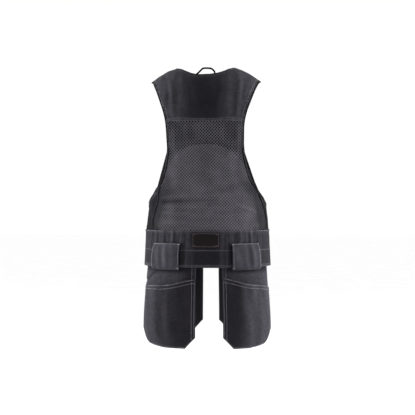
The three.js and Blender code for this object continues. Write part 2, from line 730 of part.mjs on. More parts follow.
function holsterPouch(row) {
  const outline = holsterOutline(row);
  const seat = -BAND_CLOTH / 2 - TUCK_GAP + LAYER_GAP;
  const bulge = (u, v) => {
    const wide = 1 - Math.abs(2 * u - 1) ** 2.6;
    const tall = Math.sin((Math.PI / 2) * Math.min(v / 0.45, 1)) * (1 - 0.12 * v);
    return seat + POUCH_BULGE * wide * tall;
  };
  return wall({
    left: outline.left,
    right: outline.right,
    bottom: outline.bottom,
    top: outline.mouth,
    across: holsterColumns(outline),
    up: [0, 0.08, 0.18, 0.32, 0.48, 0.7, 1],
    surface: bodyPoint,
    inner: bulge,
    outer: (u, v) => bulge(u, v) + CLOTH,
  });
}

// The hanger: a narrow tape whose ends are sewn inside the back neck.
function hanger() {
  const neckLine = lineThrough(neckEdge().back, 'angle', 'run');
  const inside = -BINDING_THICKNESS / 2 - LAYER_GAP - 1.5 * HANGER_TAPE;
  const foot = (reach, below) => {
    const angle = angleAtReach(reach, -CROWN_HEIGHT);
    return raised(angle, neckLine(angle) - below, inside);
  };
  const [left, right] = [HANGER_LEFT_REACH, -HANGER_RIGHT_REACH];
  const base = foot(0, 0);
  const depth = Math.min(foot(left, 0).y, foot(right, 0).y) - HANGER_TAPE;
  // Points of the free loop: x between the feet, and z as a share of the loop's rise.
  const loop = [
    { x: 0.64 * left, rise: 0.5 },
    { x: 0.25 * left, rise: 0.95 },
    { x: 0.15 * right, rise: 1.0 },
    { x: 0.7 * right, rise: 0.9 },
    { x: 1.04 * right, rise: 0.4 },
  ].map(({ x, rise }) => new THREE.Vector3(x + LEAN, depth, base.z + HANGER_RISE * rise));
  const path = new THREE.CatmullRomCurve3([foot(left, HANGER_TUCK), foot(left, 0), ...loop, foot(right, 0), foot(right, HANGER_TUCK)]);
  const section = [
    [-HANGER_TAPE / 2, -HANGER_WIDTH / 2],
    [HANGER_TAPE / 2, -HANGER_WIDTH / 2],
    [HANGER_TAPE / 2, HANGER_WIDTH / 2],
    [-HANGER_TAPE / 2, HANGER_WIDTH / 2],
  ];
  const frames = even(28).map((share) => {
    const tangent = path.getTangentAt(share);
    const width = new THREE.Vector3(0, 1, 0).cross(tangent).normalize();
    return { point: path.getPointAt(share), inward: tangent.clone().cross(width), normal: width };
  });
  return swept(frames, section, false);
}

const vest = new THREE.Group();
vest.add(
  named('yoke', yoke(), CANVAS),
  named('mesh_back', meshBack(), MESH_KNIT),
  named('mesh_inner_layer', archedLayer(), LINING),
  named('side_panel_left', sidePanel(1), CANVAS),
  named('side_panel_right', sidePanel(-1), CANVAS),
  named('front_panel_left', frontPanel(1), CANVAS),
  named('front_panel_right', frontPanel(-1), CANVAS),
  named('hem_band_back', band(fixed(-SIDE_SEAM_ANGLE + seamDegrees), fixed(SIDE_SEAM_ANGLE - seamDegrees), 34), CANVAS),
  named('hem_band_left', frontBand(1), CANVAS),
  named('hem_band_right', frontBand(-1), CANVAS),
  named('armhole_binding_left', swept(framesAlong(armholeEdge(1).slice(0, -1), 1, true), BINDING_SECTION, true), TAPE),
  named('armhole_binding_right', swept(framesAlong(armholeEdge(-1).slice(0, -1), -1, true), BINDING_SECTION, true), TAPE),
  named('neck_binding', swept(framesAlong(neckEdge().places, -1, false), BINDING_SECTION, false), TAPE),
  named('front_zip', zip(), NYLON),
  named('band_patch', patch(), PATCH),
  named('belt_loop_left', beltLoop(1), CANVAS),
  named('belt_loop_right', beltLoop(-1), CANVAS),
  named('hanger_loop', hanger(), TAPE),
);
for (const row of HOLSTERS) {
  vest.add(
    named(`holster_backing_${row.name}`, holsterBacking(row), CANVAS),
    named(`holster_pouch_${row.name}`, holsterPouch(row), CANVAS),
  );
}

export default vest;
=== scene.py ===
"""The look of a sleeveless utility work vest with an air-mesh back and four hanging holsters.

Sizes are millimetres until a mesh is made, and +Z is up. The wearer faces -Y, and the wearer's left
side is +X.
Every cloth piece lies on one body form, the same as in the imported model, so each one takes its CAD
solid's place.
"""

import json
import logging
import math
from dataclasses import dataclass
from enum import Enum
from typing import Callable, Sequence

import bpy
import numpy as np
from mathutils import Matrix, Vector

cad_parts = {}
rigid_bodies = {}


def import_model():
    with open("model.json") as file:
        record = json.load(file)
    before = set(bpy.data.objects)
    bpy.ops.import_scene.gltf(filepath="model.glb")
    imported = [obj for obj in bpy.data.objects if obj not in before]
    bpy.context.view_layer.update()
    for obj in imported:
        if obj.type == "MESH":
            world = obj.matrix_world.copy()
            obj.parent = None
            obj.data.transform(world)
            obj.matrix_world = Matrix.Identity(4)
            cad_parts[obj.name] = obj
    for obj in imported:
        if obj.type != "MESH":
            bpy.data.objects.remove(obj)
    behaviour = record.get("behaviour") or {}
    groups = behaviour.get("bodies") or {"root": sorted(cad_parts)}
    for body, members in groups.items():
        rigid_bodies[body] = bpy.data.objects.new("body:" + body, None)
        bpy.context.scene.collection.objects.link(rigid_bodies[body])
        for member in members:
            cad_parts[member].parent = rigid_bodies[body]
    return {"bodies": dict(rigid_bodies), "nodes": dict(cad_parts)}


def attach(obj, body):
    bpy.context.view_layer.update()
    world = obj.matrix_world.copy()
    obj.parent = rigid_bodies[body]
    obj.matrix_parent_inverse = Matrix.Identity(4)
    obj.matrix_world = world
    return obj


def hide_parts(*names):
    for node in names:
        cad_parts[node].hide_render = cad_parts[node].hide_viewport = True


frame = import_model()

for startup in set(bpy.data.objects) - {*frame["nodes"].values(), *frame["bodies"].values()}:
    bpy.data.objects.remove(startup)
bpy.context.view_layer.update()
LOG = logging.getLogger("vest")
Array = np.ndarray
Edge = Callable[[Array], Array]
MM = 0.001
SEED = 1931

# The body form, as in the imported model
BODY_LENGTH = 676.0
HEM_HALF_WIDTH = 217.0
HEM_HALF_DEPTH = 137.0
SQUARENESS = 0.87
CROWN_HEIGHT = 110.0
CROWN_RUN = 165.0
LEAN = 5.0
SHOULDER_HALF_WIDTH = 190.0
SHOULDER_DROP = 47.0
NECK_HALF_WIDTH = 97.0
BACK_NECK_DROP = 84.0
FRONT_NECK_DROP = 290.0
ARMHOLE_BOTTOM = 470.0
ARMHOLE_LOWEST_ANGLE = 93.0
YOKE_SEAM = 190.0
BAND_HEIGHT = 116.0
BAND_TOP = BAND_HEIGHT - BODY_LENGTH
SIDE_SEAM_ANGLE = 88.0
FRONT_SEAM_ANGLE = 122.0
ARCH_PEAK = 272.0
ARCH_FOOT = 350.0
CLOTH = 1.4
BAND_CLOTH = 2.4
BINDING_WIDTH = 9.0
SLOPE_STEP = 0.4
DEGREE_MM = 3.0

# drop as a share of the body's length, then width, back depth and front depth as shares of the hem's
SECTIONS = (
    (0.0, 0.977, 0.76, 0.74),
    (0.25, 0.968, 0.8, 0.8),
    (0.45, 0.935, 0.84, 0.85),
    (0.65, 0.926, 0.89, 0.9),
    (0.84, 0.972, 0.96, 0.96),
    (1.0, 1.0, 1.0, 1.0),
    (1.28, 1.06, 1.02, 1.02),
    (1.45, 1.055, 1.02, 1.02),
)
# From the shoulder ridge to the cloth's upper edge, and from the centre front to a front piece's edge
RIDGE_GAP = 0.2
ZIP_HALF_GAP = 9.5
# How far the side and front panels reach down behind the band
BEHIND_BAND = 7
# drop as a share of the armhole's, then the back and front edges' reach as shares of the shoulder's
# half width
ARMHOLE = (
    (0.13, 0.926, 0.91),
    (0.266, 0.8, 0.775),
    (0.398, 0.705, 0.69),
    (0.53, 0.677, 0.665),
    (0.696, 0.703, 0.69),
    (0.843, 0.815, 0.8),
    (0.945, 1.0, 0.985),
)
# drop as a share of the body's length, then the angle of the mesh back's seam on the wearer's left and right
MESH_SEAM = (
    (0.5, 46.5, 52.0),
    (0.6, 51.5, 60.0),
    (0.68, 55.0, 68.0),
    (0.75, 59.5, 74.0),
    (0.8, 60.0, 75.0),
    (0.83, 57.0, 72.0),
)


class Side(Enum):
    """The wearer's left or right, as the sign of X."""

    LEFT = 1
    RIGHT = -1


class Slot(Enum):
    """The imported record's material slots."""

    CANVAS = "canvas"
    KNIT = "mesh_knit"
    LINING = "lining_mesh"
    TAPE = "tape"
    PATCH = "patch"
    NYLON = "zip_nylon"


# Finishes


def linear(code: str) -> tuple[float, float, float, float]:
    """An sRGB hex colour as linear light.

    Args:
        code: six hex digits after a hash.

    Returns:
        Red, green, blue and an alpha of one.
    """
    shares = [int(code[i : i + 2], 16) / 255 for i in (1, 3, 5)]
    light = [c / 12.92 if c <= 0.04045 else ((c + 0.055) / 1.055) ** 2.4 for c in shares]
    return (*light, 1.0)


def add_node(
    tree: bpy.types.NodeTree,
    kind: str,
    inputs: dict[str | int, object] | None = None,
    ramp: Sequence[tuple[float, str]] = (),
    **settings: object,
) -> bpy.types.Node:
    """Adds one node with its settings, values and links.

    Args:
        tree: the node tree.
        kind: the node's type name.
        inputs: a value or an output to link, by input name or number.
        ramp: a colour ramp's stops, each a place and a hex colour.
        **settings: properties of the node.

    Returns:
        The new node.
    """
    node = tree.nodes.new(kind)
    for name, value in settings.items():
        setattr(node, name, value)
    for name, value in (inputs or {}).items():
        if isinstance(value, bpy.types.NodeSocket):
            tree.links.new(value, node.inputs[name])
        else:
            node.inputs[name].default_value = value
    for i, (place, code) in enumerate(ramp):
        stops = node.color_ramp.elements
        stop = stops[i] if i < 2 else stops.new(place)
        stop.position, stop.color = place, linear(code)
    return node


def wave_scale(period_mm: float) -> float:
    """The Wave texture's scale that gives bands of this period, over coordinates in metres."""
    return 2 * math.pi / 20 / (period_mm * MM)


@dataclass(frozen=True)
class Finish:
    """A finish with one surface shader.

    Attributes:
        name: the real material.
        roughness: of the shader.
    """

    name: str
    roughness: float

    def tree(self) -> tuple[bpy.types.Material, bpy.types.NodeTree, bpy.types.Node]:
        """Starts the material.

        Returns:
            The material, its empty node tree and its surface shader, already linked to the output.
        """
        material = bpy.data.materials.new(self.name)
        material.use_nodes = True
        tree = material.node_tree
        tree.nodes.clear()
        shader = add_node(tree, "ShaderNodeBsdfPrincipled", {"Roughness": self.roughness})
        add_node(tree, "ShaderNodeOutputMaterial", {"Surface": shader.outputs["BSDF"]})
        return material, tree, shader


@dataclass(frozen=True)
class WovenCloth(Finish):
    """A woven cotton and polyester cloth: matt, soft at its edges, with fading along its seams and with
    painted light and shade.

    Attributes:
        dark: colour of the hollows between the threads.
        light: colour of the threads.
        faded_and_painted_light: colour where seams and edges rub, and where light is painted on.
        thread_mm: period of the weave as drawn.
        twill: whether the weave runs in diagonal ribs.
        sheen: weight of the fuzz that catches light at a grazing view.
        mottle: how much the dye varies.
    """

    dark: str
    light: str
    faded_and_painted_light: str
    thread_mm: float
    twill: bool
    sheen: float
    mottle: float

    def build(self) -> bpy.types.Material:
        """The material, with its weave on the cloth's own UVs in metres."""
        material, tree, shader = self.tree()
        uv = add_node(tree, "ShaderNodeUVMap", uv_map="UVMap").outputs["UV"]
        place = add_node(tree, "ShaderNodeTexCoord").outputs["Object"]
        scale = wave_scale(self.thread_mm)
        warp = add_node(
            tree,
            "ShaderNodeTexWave",
            {"Vector": uv, "Scale": scale, "Distortion": 0.6, "Detail": 2.0, "Detail Scale": 3.0},
            wave_type="BANDS",
            bands_direction="DIAGONAL" if self.twill else "X",
        ).outputs["Fac"]
        weft = add_node(
            tree,
            "ShaderNodeTexWave",
            {"Vector": uv, "Scale": scale, "Distortion": 0.6, "Detail": 2.0, "Detail Scale": 3.0},
            wave_type="BANDS",
            bands_direction="Y",
        ).outputs["Fac"]
        weave = add_node(tree, "ShaderNodeMath", {0: warp, 1: weft}, operation="MULTIPLY").outputs[0]
        # Slubs are thicker lengths of yarn, drawn about 9 mm long.
        slub = add_node(
            tree, "ShaderNodeTexNoise", {"Vector": place, "Scale": 110.0, "Detail": 4.0, "Roughness": 0.65}
        ).outputs["Fac"]
        # The dye varies over about 45 mm, where the cloth was creased in the wash.
        dye = add_node(
            tree, "ShaderNodeTexNoise", {"Vector": place, "Scale": 22.0, "Detail": 6.0, "Roughness": 0.6}
        ).outputs["Fac"]
        threads = add_node(tree, "ShaderNodeMix", {0: 0.5, 2: weave, 3: slub}, data_type="FLOAT").outputs[0]
        toned = {0: self.mottle, 2: threads, 3: dye}
        shade = add_node(tree, "ShaderNodeMix", toned, data_type="FLOAT").outputs[0]
        cloth = add_node(
            tree, "ShaderNodeValToRGB", {"Fac": shade}, ramp=((0.22, self.dark), (0.72, self.light))
        ).outputs["Color"]
        # The attribute mixes in the paler colour: real fading at seams and edges, and painted light and
        # shade.
        wear = add_node(tree, "ShaderNodeAttribute", attribute_name="wear").outputs["Fac"]
        rub_and_painted_light = add_node(tree, "ShaderNodeMath", {0: wear, 1: slub}, operation="MULTIPLY").outputs[0]
        colour = add_node(
            tree, "ShaderNodeMix", {0: rub_and_painted_light, 6: cloth, 7: linear(self.faded_and_painted_light)}, data_type="RGBA"
        ).outputs[2]
        tree.links.new(colour, shader.inputs["Base Color"])
        bump = add_node(tree, "ShaderNodeBump", {"Height": threads, "Strength": 0.45, "Distance": 0.0006})
        soft = add_node(
            tree,
            "ShaderNodeBump",
            {"Height": dye, "Strength": 0.3, "Distance": 0.003, "Normal": bump.outputs["Normal"]},
        )
        tree.links.new(soft.outputs["Normal"], shader.inputs["Normal"])
        shader.inputs["Sheen Weight"].default_value = self.sheen
        shader.inputs["Sheen Roughness"].default_value = 0.45
        shader.inputs["Sheen Tint"].default_value = linear("#d5d3dc")
        shader.inputs["Specular IOR Level"].default_value = 0.05
        return material


@dataclass(frozen=True)
class KnitCloth(Finish):
    """A polyester knit of looped yarn, with a soft lustre on the raised loops.

    Attributes:
        dark: colour low in the loops.
        light: colour of the loops' tops.
        loop_mm: the loops' period as drawn.
        sheen: weight of the yarn's lustre at a grazing view.
    """

    dark: str
    light: str
    loop_mm: float
    sheen: float

    def build(self) -> bpy.types.Material:
        """The material, with its loops on the cloth's own UVs in metres."""
        material, tree, shader = self.tree()
        uv = add_node(tree, "ShaderNodeUVMap", uv_map="UVMap").outputs["UV"]
        place = add_node(tree, "ShaderNodeTexCoord").outputs["Object"]
        bands = {"Vector": uv, "Scale": wave_scale(self.loop_mm)}
        bands |= {"Distortion": 1.5, "Detail": 1.0, "Detail Scale": 2.0}
        loops = add_node(
            tree, "ShaderNodeTexWave", bands, wave_type="BANDS", bands_direction="DIAGONAL"
        ).outputs["Fac"]
        yarn = add_node(
            tree, "ShaderNodeTexNoise", {"Vector": place, "Scale": 260.0, "Detail": 3.0, "Roughness": 0.6}
        ).outputs["Fac"]
        # The knit's tension varies over about 60 mm, and shows as paler and darker areas.
        tension = add_node(
            tree, "ShaderNodeTexNoise", {"Vector": place, "Scale": 16.0, "Detail": 5.0, "Roughness": 0.6}
        ).outputs["Fac"]
        fine = add_node(tree, "ShaderNodeMix", {0: 0.55, 2: loops, 3: yarn}, data_type="FLOAT").outputs[0]
        shade = add_node(tree, "ShaderNodeMix", {0: 0.4, 2: fine, 3: tension}, data_type="FLOAT").outputs[0]
        colour = add_node(
            tree, "ShaderNodeValToRGB", {"Fac": shade}, ramp=((0.3, self.dark), (0.68, self.light))
        ).outputs["Color"]
        # Painted light and shade: the attribute darkens the knit towards its sides, above the arch and in
        # fold valleys, and lightens it on fold crests and along the arched layer's edges.
        painted_darkening = add_node(tree, "ShaderNodeAttribute", attribute_name="wear").outputs["Fac"]
        painted_brightness = add_node(tree, "ShaderNodeMath", {0: 1.0, 1: painted_darkening}, operation="SUBTRACT").outputs[0]
        toned = add_node(tree, "ShaderNodeVectorMath", {0: colour, 3: painted_brightness}, operation="SCALE").outputs[0]
        tree.links.new(toned, shader.inputs["Base Color"])
        bump = add_node(tree, "ShaderNodeBump", {"Height": fine, "Strength": 0.5, "Distance": 0.0005})
        tree.links.new(bump.outputs["Normal"], shader.inputs["Normal"])
        shader.inputs["Sheen Weight"].default_value = self.sheen
        shader.inputs["Sheen Roughness"].default_value = 0.35
        shader.inputs["Sheen Tint"].default_value = linear("#dcdae4")
        shader.inputs["Specular IOR Level"].default_value = 0.1
        return material


@dataclass(frozen=True)
class SpunThread(Finish):
    """Twisted polyester sewing thread, paler than the cloth, with a slight lustre.

    Attributes:
        dark: colour between the plies.
        light: colour of the plies.
    """

    dark: str
    light: str

    def build(self) -> bpy.types.Material:
        """The material, with its plies drawn coarser than the real 0.3 mm."""
        material, tree, shader = self.tree()
        place = add_node(tree, "ShaderNodeTexCoord").outputs["Object"]
        plies = add_node(
            tree, "ShaderNodeTexNoise", {"Vector": place, "Scale": 700.0, "Detail": 3.0, "Roughness": 0.7}
        ).outputs["Fac"]
        colour = add_node(
            tree, "ShaderNodeValToRGB", {"Fac": plies}, ramp=((0.3, self.dark), (0.7, self.light))
        ).outputs["Color"]
        tree.links.new(colour, shader.inputs["Base Color"])
        bump = add_node(tree, "ShaderNodeBump", {"Height": plies, "Strength": 0.4, "Distance": 0.0003})
        tree.links.new(bump.outputs["Normal"], shader.inputs["Normal"])
        shader.inputs["Sheen Weight"].default_value = 0.2
        return material


@dataclass(frozen=True)
class HardFinish(Finish):
    """Moulded nylon or painted metal, with fine scuffs.

    Attributes:
        dark: main colour.
        light: colour where it is scuffed.
        metallic: one for bare or plated metal, and zero for nylon.
        grain: the scuffs' scale, in repeats to the metre.
    """

    dark: str
    light: str
    metallic: float
    grain: float

    def build(self) -> bpy.types.Material:
        """The material, with its scuffs in colour and in roughness."""
        material, tree, shader = self.tree()
        place = add_node(tree, "ShaderNodeTexCoord").outputs["Object"]
        handled = {"Vector": place, "Scale": self.grain, "Detail": 6.0, "Roughness": 0.7}
        scuffs = add_node(tree, "ShaderNodeTexNoise", handled).outputs["Fac"]
        colour = add_node(
            tree, "ShaderNodeValToRGB", {"Fac": scuffs}, ramp=((0.42, self.dark), (0.75, self.light))
        ).outputs["Color"]
        rough = add_node(
            tree,
            "ShaderNodeMapRange",
            {"Value": scuffs, 1: 0.3, 2: 0.7, 3: self.roughness - 0.1, 4: self.roughness + 0.15},
        ).outputs[0]
        bump = add_node(tree, "ShaderNodeBump", {"Height": scuffs, "Strength": 0.2, "Distance": 0.0002})
        tree.links.new(colour, shader.inputs["Base Color"])
        tree.links.new(rough, shader.inputs["Roughness"])
        tree.links.new(bump.outputs["Normal"], shader.inputs["Normal"])
        shader.inputs["Metallic"].default_value = self.metallic
        return material


@dataclass(frozen=True)
class PaintedGround(Finish):
    """Matt white studio paint, a little uneven where it was rolled."""

    def build(self) -> bpy.types.Material:
        """The material, with the roller's faint mottling."""
        material, tree, shader = self.tree()
        place = add_node(tree, "ShaderNodeTexCoord").outputs["Object"]
        patches = {"Vector": place, "Scale": 4.0, "Detail": 4.0}
        rolled = add_node(tree, "ShaderNodeTexNoise", patches).outputs["Fac"]
        colour = add_node(
            tree, "ShaderNodeValToRGB", {"Fac": rolled}, ramp=((0.3, "#f8f8f8"), (0.7, "#fcfcfc"))
        ).outputs["Color"]
        tree.links.new(colour, shader.inputs["Base Color"])
        return material


class Wardrobe:
    """Every finish of the vest, built once."""

    def __init__(self) -> None:
        """Builds the materials."""
        # Black cotton and polyester duck: matt, near black with a violet cast, paler where the seams rub.
        self.canvas = WovenCloth(
            "Black_cotton_duck", 0.95, "#0c0b0e", "#1b1a1e", "#3a393f", 1.5, False, 0.012, 0.5
        ).build()
        # The same duck where it is handled most, as on the belt loops.
        self.duck_rubbed = WovenCloth(
            "Black_cotton_duck_rubbed", 0.93, "#18171b", "#302f35", "#4c4b51", 1.5, False, 0.015, 0.5
        ).build()
        # The same duck inside the holsters, where it has not rubbed.
        self.duck_dark = WovenCloth(
            "Black_cotton_duck_unworn", 0.96, "#0f0e11", "#1d1c20", "#333237", 1.5, False, 0.008, 0.5
        ).build()
        # Plain polyester cloth under the arms, finer than the duck, drawn darker than it as painted shade of
        # the sides, which turn away from the light.
        self.side_cloth_painted_shade = WovenCloth(
            "Black_polyester_plain_weave", 0.95, "#060507", "#0f0e11", "#232226", 1.1, False, 0.006, 0.5
        ).build()
        # Air-mesh knit: polyester loops that read paler than the duck.
        self.knit = KnitCloth("Black_polyester_air_mesh", 0.8, "#333237", "#5b5960", 1.6, 0.02).build()
        # The closed ground of the air mesh, a real layer drawn near black as painted shade of the inside, so
        # that it shows dark through the holes.
        self.ground = KnitCloth("Black_polyester_mesh_ground", 0.96, "#040404", "#0b0b0c", 1.2, 0.0).build()
        # Finer mesh for the layer inside.
        self.lining = KnitCloth("Black_polyester_lining_mesh", 0.9, "#1f1e22", "#343237", 1.2, 0.0).build()
        # Ribbed polyester binding tape, the darkest cloth of the vest.
        self.tape = WovenCloth(
            "Black_polyester_binding_tape", 0.9, "#080709", "#121114", "#252429", 1.3, True, 0.01, 0.4
        ).build()
        # Smooth coated cloth of the bare patch.
        self.patch = WovenCloth(
            "Black_coated_polyester_patch", 0.8, "#0b0909", "#151112", "#221e20", 1.0, True, 0.01, 0.4
        ).build()
        # Pale thread of the seams that show, a greyer one where they show less, and the patch's dark red.
        self.pale_thread = SpunThread("Pale_grey_polyester_thread", 0.8, "#5c5b61", "#8e8d94").build()
        self.red_thread = SpunThread("Dark_red_polyester_thread", 0.8, "#2a0d10", "#551a1e").build()
        self.grey_thread = SpunThread("Grey_polyester_thread", 0.8, "#323137", "#59585f").build()
        # Moulded nylon zip teeth, and a slider of painted zinc.
        self.nylon = HardFinish("Black_moulded_nylon", 0.45, "#131314", "#29292b", 0.0, 900.0).build()
        self.zinc = HardFinish("Black_painted_zinc", 0.38, "#1a1a1c", "#5d5d60", 0.7, 500.0).build()


# Body form


def smooth_through(keys: Sequence[float], values: Sequence[float]) -> Edge:
    """A smooth function through a table's rows, level past its ends.

    Args:
        keys: the rows' places, growing.
        values: the rows' values.

    Returns:
        The function, which takes and gives arrays.
    """
    at, to = np.asarray(keys, float), np.asarray(values, float)
    rows = np.arange(len(at))
    before, after = np.maximum(rows - 1, 0), np.minimum(rows + 1, len(at) - 1)
    slope = (to[after] - to[before]) / (at[after] - at[before])

    def value(x: Array) -> Array:
        """The table's value at x."""
        x = np.clip(x, at[0], at[-1])
        i = np.clip(np.searchsorted(at, x, side="left") - 1, 0, len(at) - 2)
        width = at[i + 1] - at[i]
        t = (x - at[i]) / width
        low = (2 * t**3 - 3 * t**2 + 1) * to[i] + (t**3 - 2 * t**2 + t) * width * slope[i]
        high = (3 * t**2 - 2 * t**3) * to[i + 1] + (t**3 - t**2) * width * slope[i + 1]
        return low + high

    return value


def smooth_step(x: Array, low: float, high: float) -> Array:
    """Zero below low and one above high, with a smooth rise between them."""
    t = np.clip((np.asarray(x, float) - low) / (high - low), 0, 1)
    return t * t * (3 - 2 * t)


def unit(vectors: Array) -> Array:
    """The vectors at a length of one."""
    return vectors / np.maximum(np.linalg.norm(vectors, axis=-1, keepdims=True), 1e-12)


@dataclass(frozen=True)
class Fold:
    """One soft fold of the cloth, a ridge, or a valley where its depth is negative.

    Attributes:
        start: its first end, an angle and a run.
        end: its last end.
        width: half its breadth.
        depth: how far it stands out.
    """

    start: tuple[float, float]
    end: tuple[float, float]
    width: float
    depth: float

    def lift(self, angle: Array, run: Array) -> Array:
        """How far the fold lifts the cloth at each place."""
        x, ax, bx = angle * DEGREE_MM, self.start[0] * DEGREE_MM, self.end[0] * DEGREE_MM
        dx, dy = bx - ax, self.end[1] - self.start[1]
        size = math.hypot(dx, dy)
        along = ((x - ax) * dx + (run - self.start[1]) * dy) / size**2
        off = ((x - ax) * dy - (run - self.start[1]) * dx) / size
        return self.depth * np.exp(-((off / self.width) ** 2)) * np.clip(1 - (2 * along - 1) ** 4, 0, 1)


# The folds that hang in the cloth, from the top of the vest to its hem
FOLDS = (
    # Soft upright folds of the yoke
    Fold((-18, -12), (-13, -188), 13, 4.2),
    Fold((17, -12), (13, -188), 13, 3.8),
    Fold((-4, -40), (-2, -188), 10, 1.6),
    Fold((7, -45), (5, -188), 9, 1.4),
    Fold((31, -40), (25, -188), 10, 2.8),
    Fold((-32, -45), (-26, -188), 10, 3.0),
    Fold((38, -5), (29, -130), 9, -2.0),
    Fold((-39, -5), (-30, -128), 9, -2.0),
    Fold((-9, -60), (-8, -188), 7, -1.6),
    Fold((10.5, -60), (9, -188), 7, -1.5),
    # Cross folds and slack of the mesh back
    Fold((50, -447), (-22, -440), 5, 3.2),
    Fold((48, -462), (-10, -458), 4.5, -3.0),
    Fold((46, -476), (-18, -484), 5, 3.0),
    Fold((44, -497), (6, -502), 5, 2.6),
    Fold((16, -514), (-30, -506), 5, 2.4),
    Fold((40, -528), (-6, -533), 5, 2.2),
    Fold((-24, -470), (-52, -500), 6, 2.4),
    # Upright slack below the yoke
    Fold((27, -195), (26, -300), 7, 2.2),
    Fold((13, -195), (14, -270), 7, 1.8),
    Fold((-12, -195), (-12, -275), 7, 1.8),
    Fold((-27, -195), (-28, -300), 7, 2.2),
    Fold((-20, -300), (-26, -430), 16, 2.0),
    Fold((22, -280), (28, -420), 16, 2.0),
    Fold((0, -200), (2, -420), 18, -1.6),
    # Gathers of the hem band, which only stand outwards
    Fold((11, -548), (12.5, -676), 5, 1.8),
    Fold((19, -545), (19, -674), 5, 3.4),
    Fold((27, -548), (27, -676), 6, 3.8),
    Fold((39, -545), (39, -676), 7, 3.2),
    Fold((48, -552), (49, -676), 8, 2.4),
    Fold((58, -556), (58, -676), 9, 2.0),
    Fold((-11, -548), (-12, -676), 5, 1.8),
    Fold((-18, -545), (-18, -674), 5, 3.4),
    Fold((-28, -548), (-28, -676), 6, 3.8),
    Fold((-41, -545), (-41, -676), 7, 3.2),
    Fold((-52, -552), (-52, -676), 8, 2.2),
    # Slack of the front panels
    Fold((140, -240), (150, -540), 18, 3.2),
    Fold((-142, -230), (-150, -545), 18, 3.2),
    Fold((128, -330), (134, -555), 12, 2.4),
    Fold((-127, -340), (-135, -552), 12, 2.4),
    Fold((100, -480), (104, -556), 9, 2.0),
    Fold((-101, -482), (-105, -556), 9, 2.0),
)


class BodyForm:
    """The rounded body that the vest is worn on.

    A place on it is an angle in degrees, 0 at the centre back and growing towards the wearer's left, and
    a run in millimetres, which is the height below the crown and the length along the cloth above it.
    """

    def __init__(self) -> None:
        """Reads the section table and seeds the cloth's small unevenness."""
        drops, widths, backs, fronts = np.array(SECTIONS).T
        self._width = smooth_through(drops, widths)
        self._back = smooth_through(drops, backs)
        self._front = smooth_through(drops, fronts)
        chance = np.random.default_rng(SEED)
        turns = chance.uniform(0, math.pi, 22)
        lengths = chance.uniform(22, 85, 22)
        self._ripples = np.stack(
            [
                2 * math.pi * np.cos(turns) / lengths,
                2 * math.pi * np.sin(turns) / lengths,
                chance.uniform(0, 2 * math.pi, 22),
                0.0045 * lengths * chance.uniform(0.4, 1.0, 22),
            ]
        )

    def half_width(self, z: Array) -> Array:
        """Half the body's width at a height."""
        return HEM_HALF_WIDTH * self._width(-np.asarray(z, float) / BODY_LENGTH)

    def half_depth(self, z: Array, back: Array) -> Array:
        """Half the body's depth at a height, behind or in front."""
        drop = -np.asarray(z, float) / BODY_LENGTH
        return HEM_HALF_DEPTH * np.where(back, self._back(drop), self._front(drop))

    @staticmethod
    def squared(value: Array) -> Array:
        """A sine or cosine made squarer."""
        return np.sign(value) * np.abs(value) ** SQUARENESS

    def angle_at_reach(self, reach: Array, z: Array) -> Array:
        """The angle, on the back half, at which the body is `reach` from its middle plane."""
        share = np.clip(np.asarray(reach, float) / self.half_width(z), -1, 1)
        return np.degrees(np.arcsin(np.sign(share) * np.abs(share) ** (1 / SQUARENESS)))

    def spring_run(self, angle: Array) -> Array:
        """Where the crown begins to round over."""
        reach = np.abs(self.half_width(0) * self.squared(np.sin(np.radians(angle))))
        beyond = np.maximum(reach - NECK_HALF_WIDTH, 0) / (SHOULDER_HALF_WIDTH - NECK_HALF_WIDTH)
        return -SHOULDER_DROP * beyond**1.45 - CROWN_HEIGHT

    def ridge_run(self, angle: Array) -> Array:
        """Where the cloth reaches the shoulder ridge."""
        return self.spring_run(angle) + CROWN_RUN

    def bare(self, angle: Array, run: Array) -> Array:
        """Points of the smooth body."""
        angle, run = np.broadcast_arrays(np.asarray(angle, float), np.asarray(run, float))
        spring = self.spring_run(angle)
        z = np.minimum(run, spring)
        turn = np.radians(90 * np.maximum(run - spring, 0) / CROWN_RUN)
        lean = LEAN * smooth_step(z, -0.6 * BODY_LENGTH, -0.25 * BODY_LENGTH)
        cosine = np.cos(np.radians(angle))
        return np.stack(
            [
                self.half_width(z) * self.squared(np.sin(np.radians(angle))) + lean,
                self.half_depth(z, cosine >= 0) * self.squared(cosine) * np.cos(turn),
                z + CROWN_HEIGHT * np.sin(turn),
            ],
            axis=-1,
        )

    def normals(self, angle: Array, run: Array) -> Array:
        """Outward unit normals of the smooth body."""
        step = SLOPE_STEP
        across = self.bare(angle + step, run) - self.bare(angle - step, run)
        up = self.bare(angle, run + step) - self.bare(angle, run - step)
        return unit(np.cross(up, across))

    def relief(self, angle: Array, run: Array) -> Array:
        """How far the hanging cloth stands off the smooth body, the same for every piece, so seams meet."""
        angle, run = np.broadcast_arrays(np.asarray(angle, float), np.asarray(run, float))
        total = np.zeros(angle.shape)
        for fold in FOLDS:
            total += fold.lift(angle, run)
        for kx, ky, phase, size in self._ripples.T:
            total += size * np.sin(angle * DEGREE_MM * kx + run * ky + phase)
        # The shoulder seam holds the cloth to the ridge, so back and front meet there.
        total = total * smooth_step(self.ridge_run(angle) - run, 0, 30)
        # On the band it only stands outwards, so what is sewn inside it clears it.
        in_band = smooth_step(-run, -BAND_TOP - 12, -BAND_TOP + 6)
        return total * (1 - in_band) + np.maximum(total, 0) * in_band

    def cloth(self, angle: Array, run: Array, lift: Array | float = 0.0) -> Array:
        """Points of the hanging cloth, raised by `lift`."""
        angle, run = np.broadcast_arrays(np.asarray(angle, float), np.asarray(run, float))
        off = (self.relief(angle, run) + lift)[..., None]
        return self.bare(angle, run) + self.normals(angle, run) * off


FORM = BodyForm()


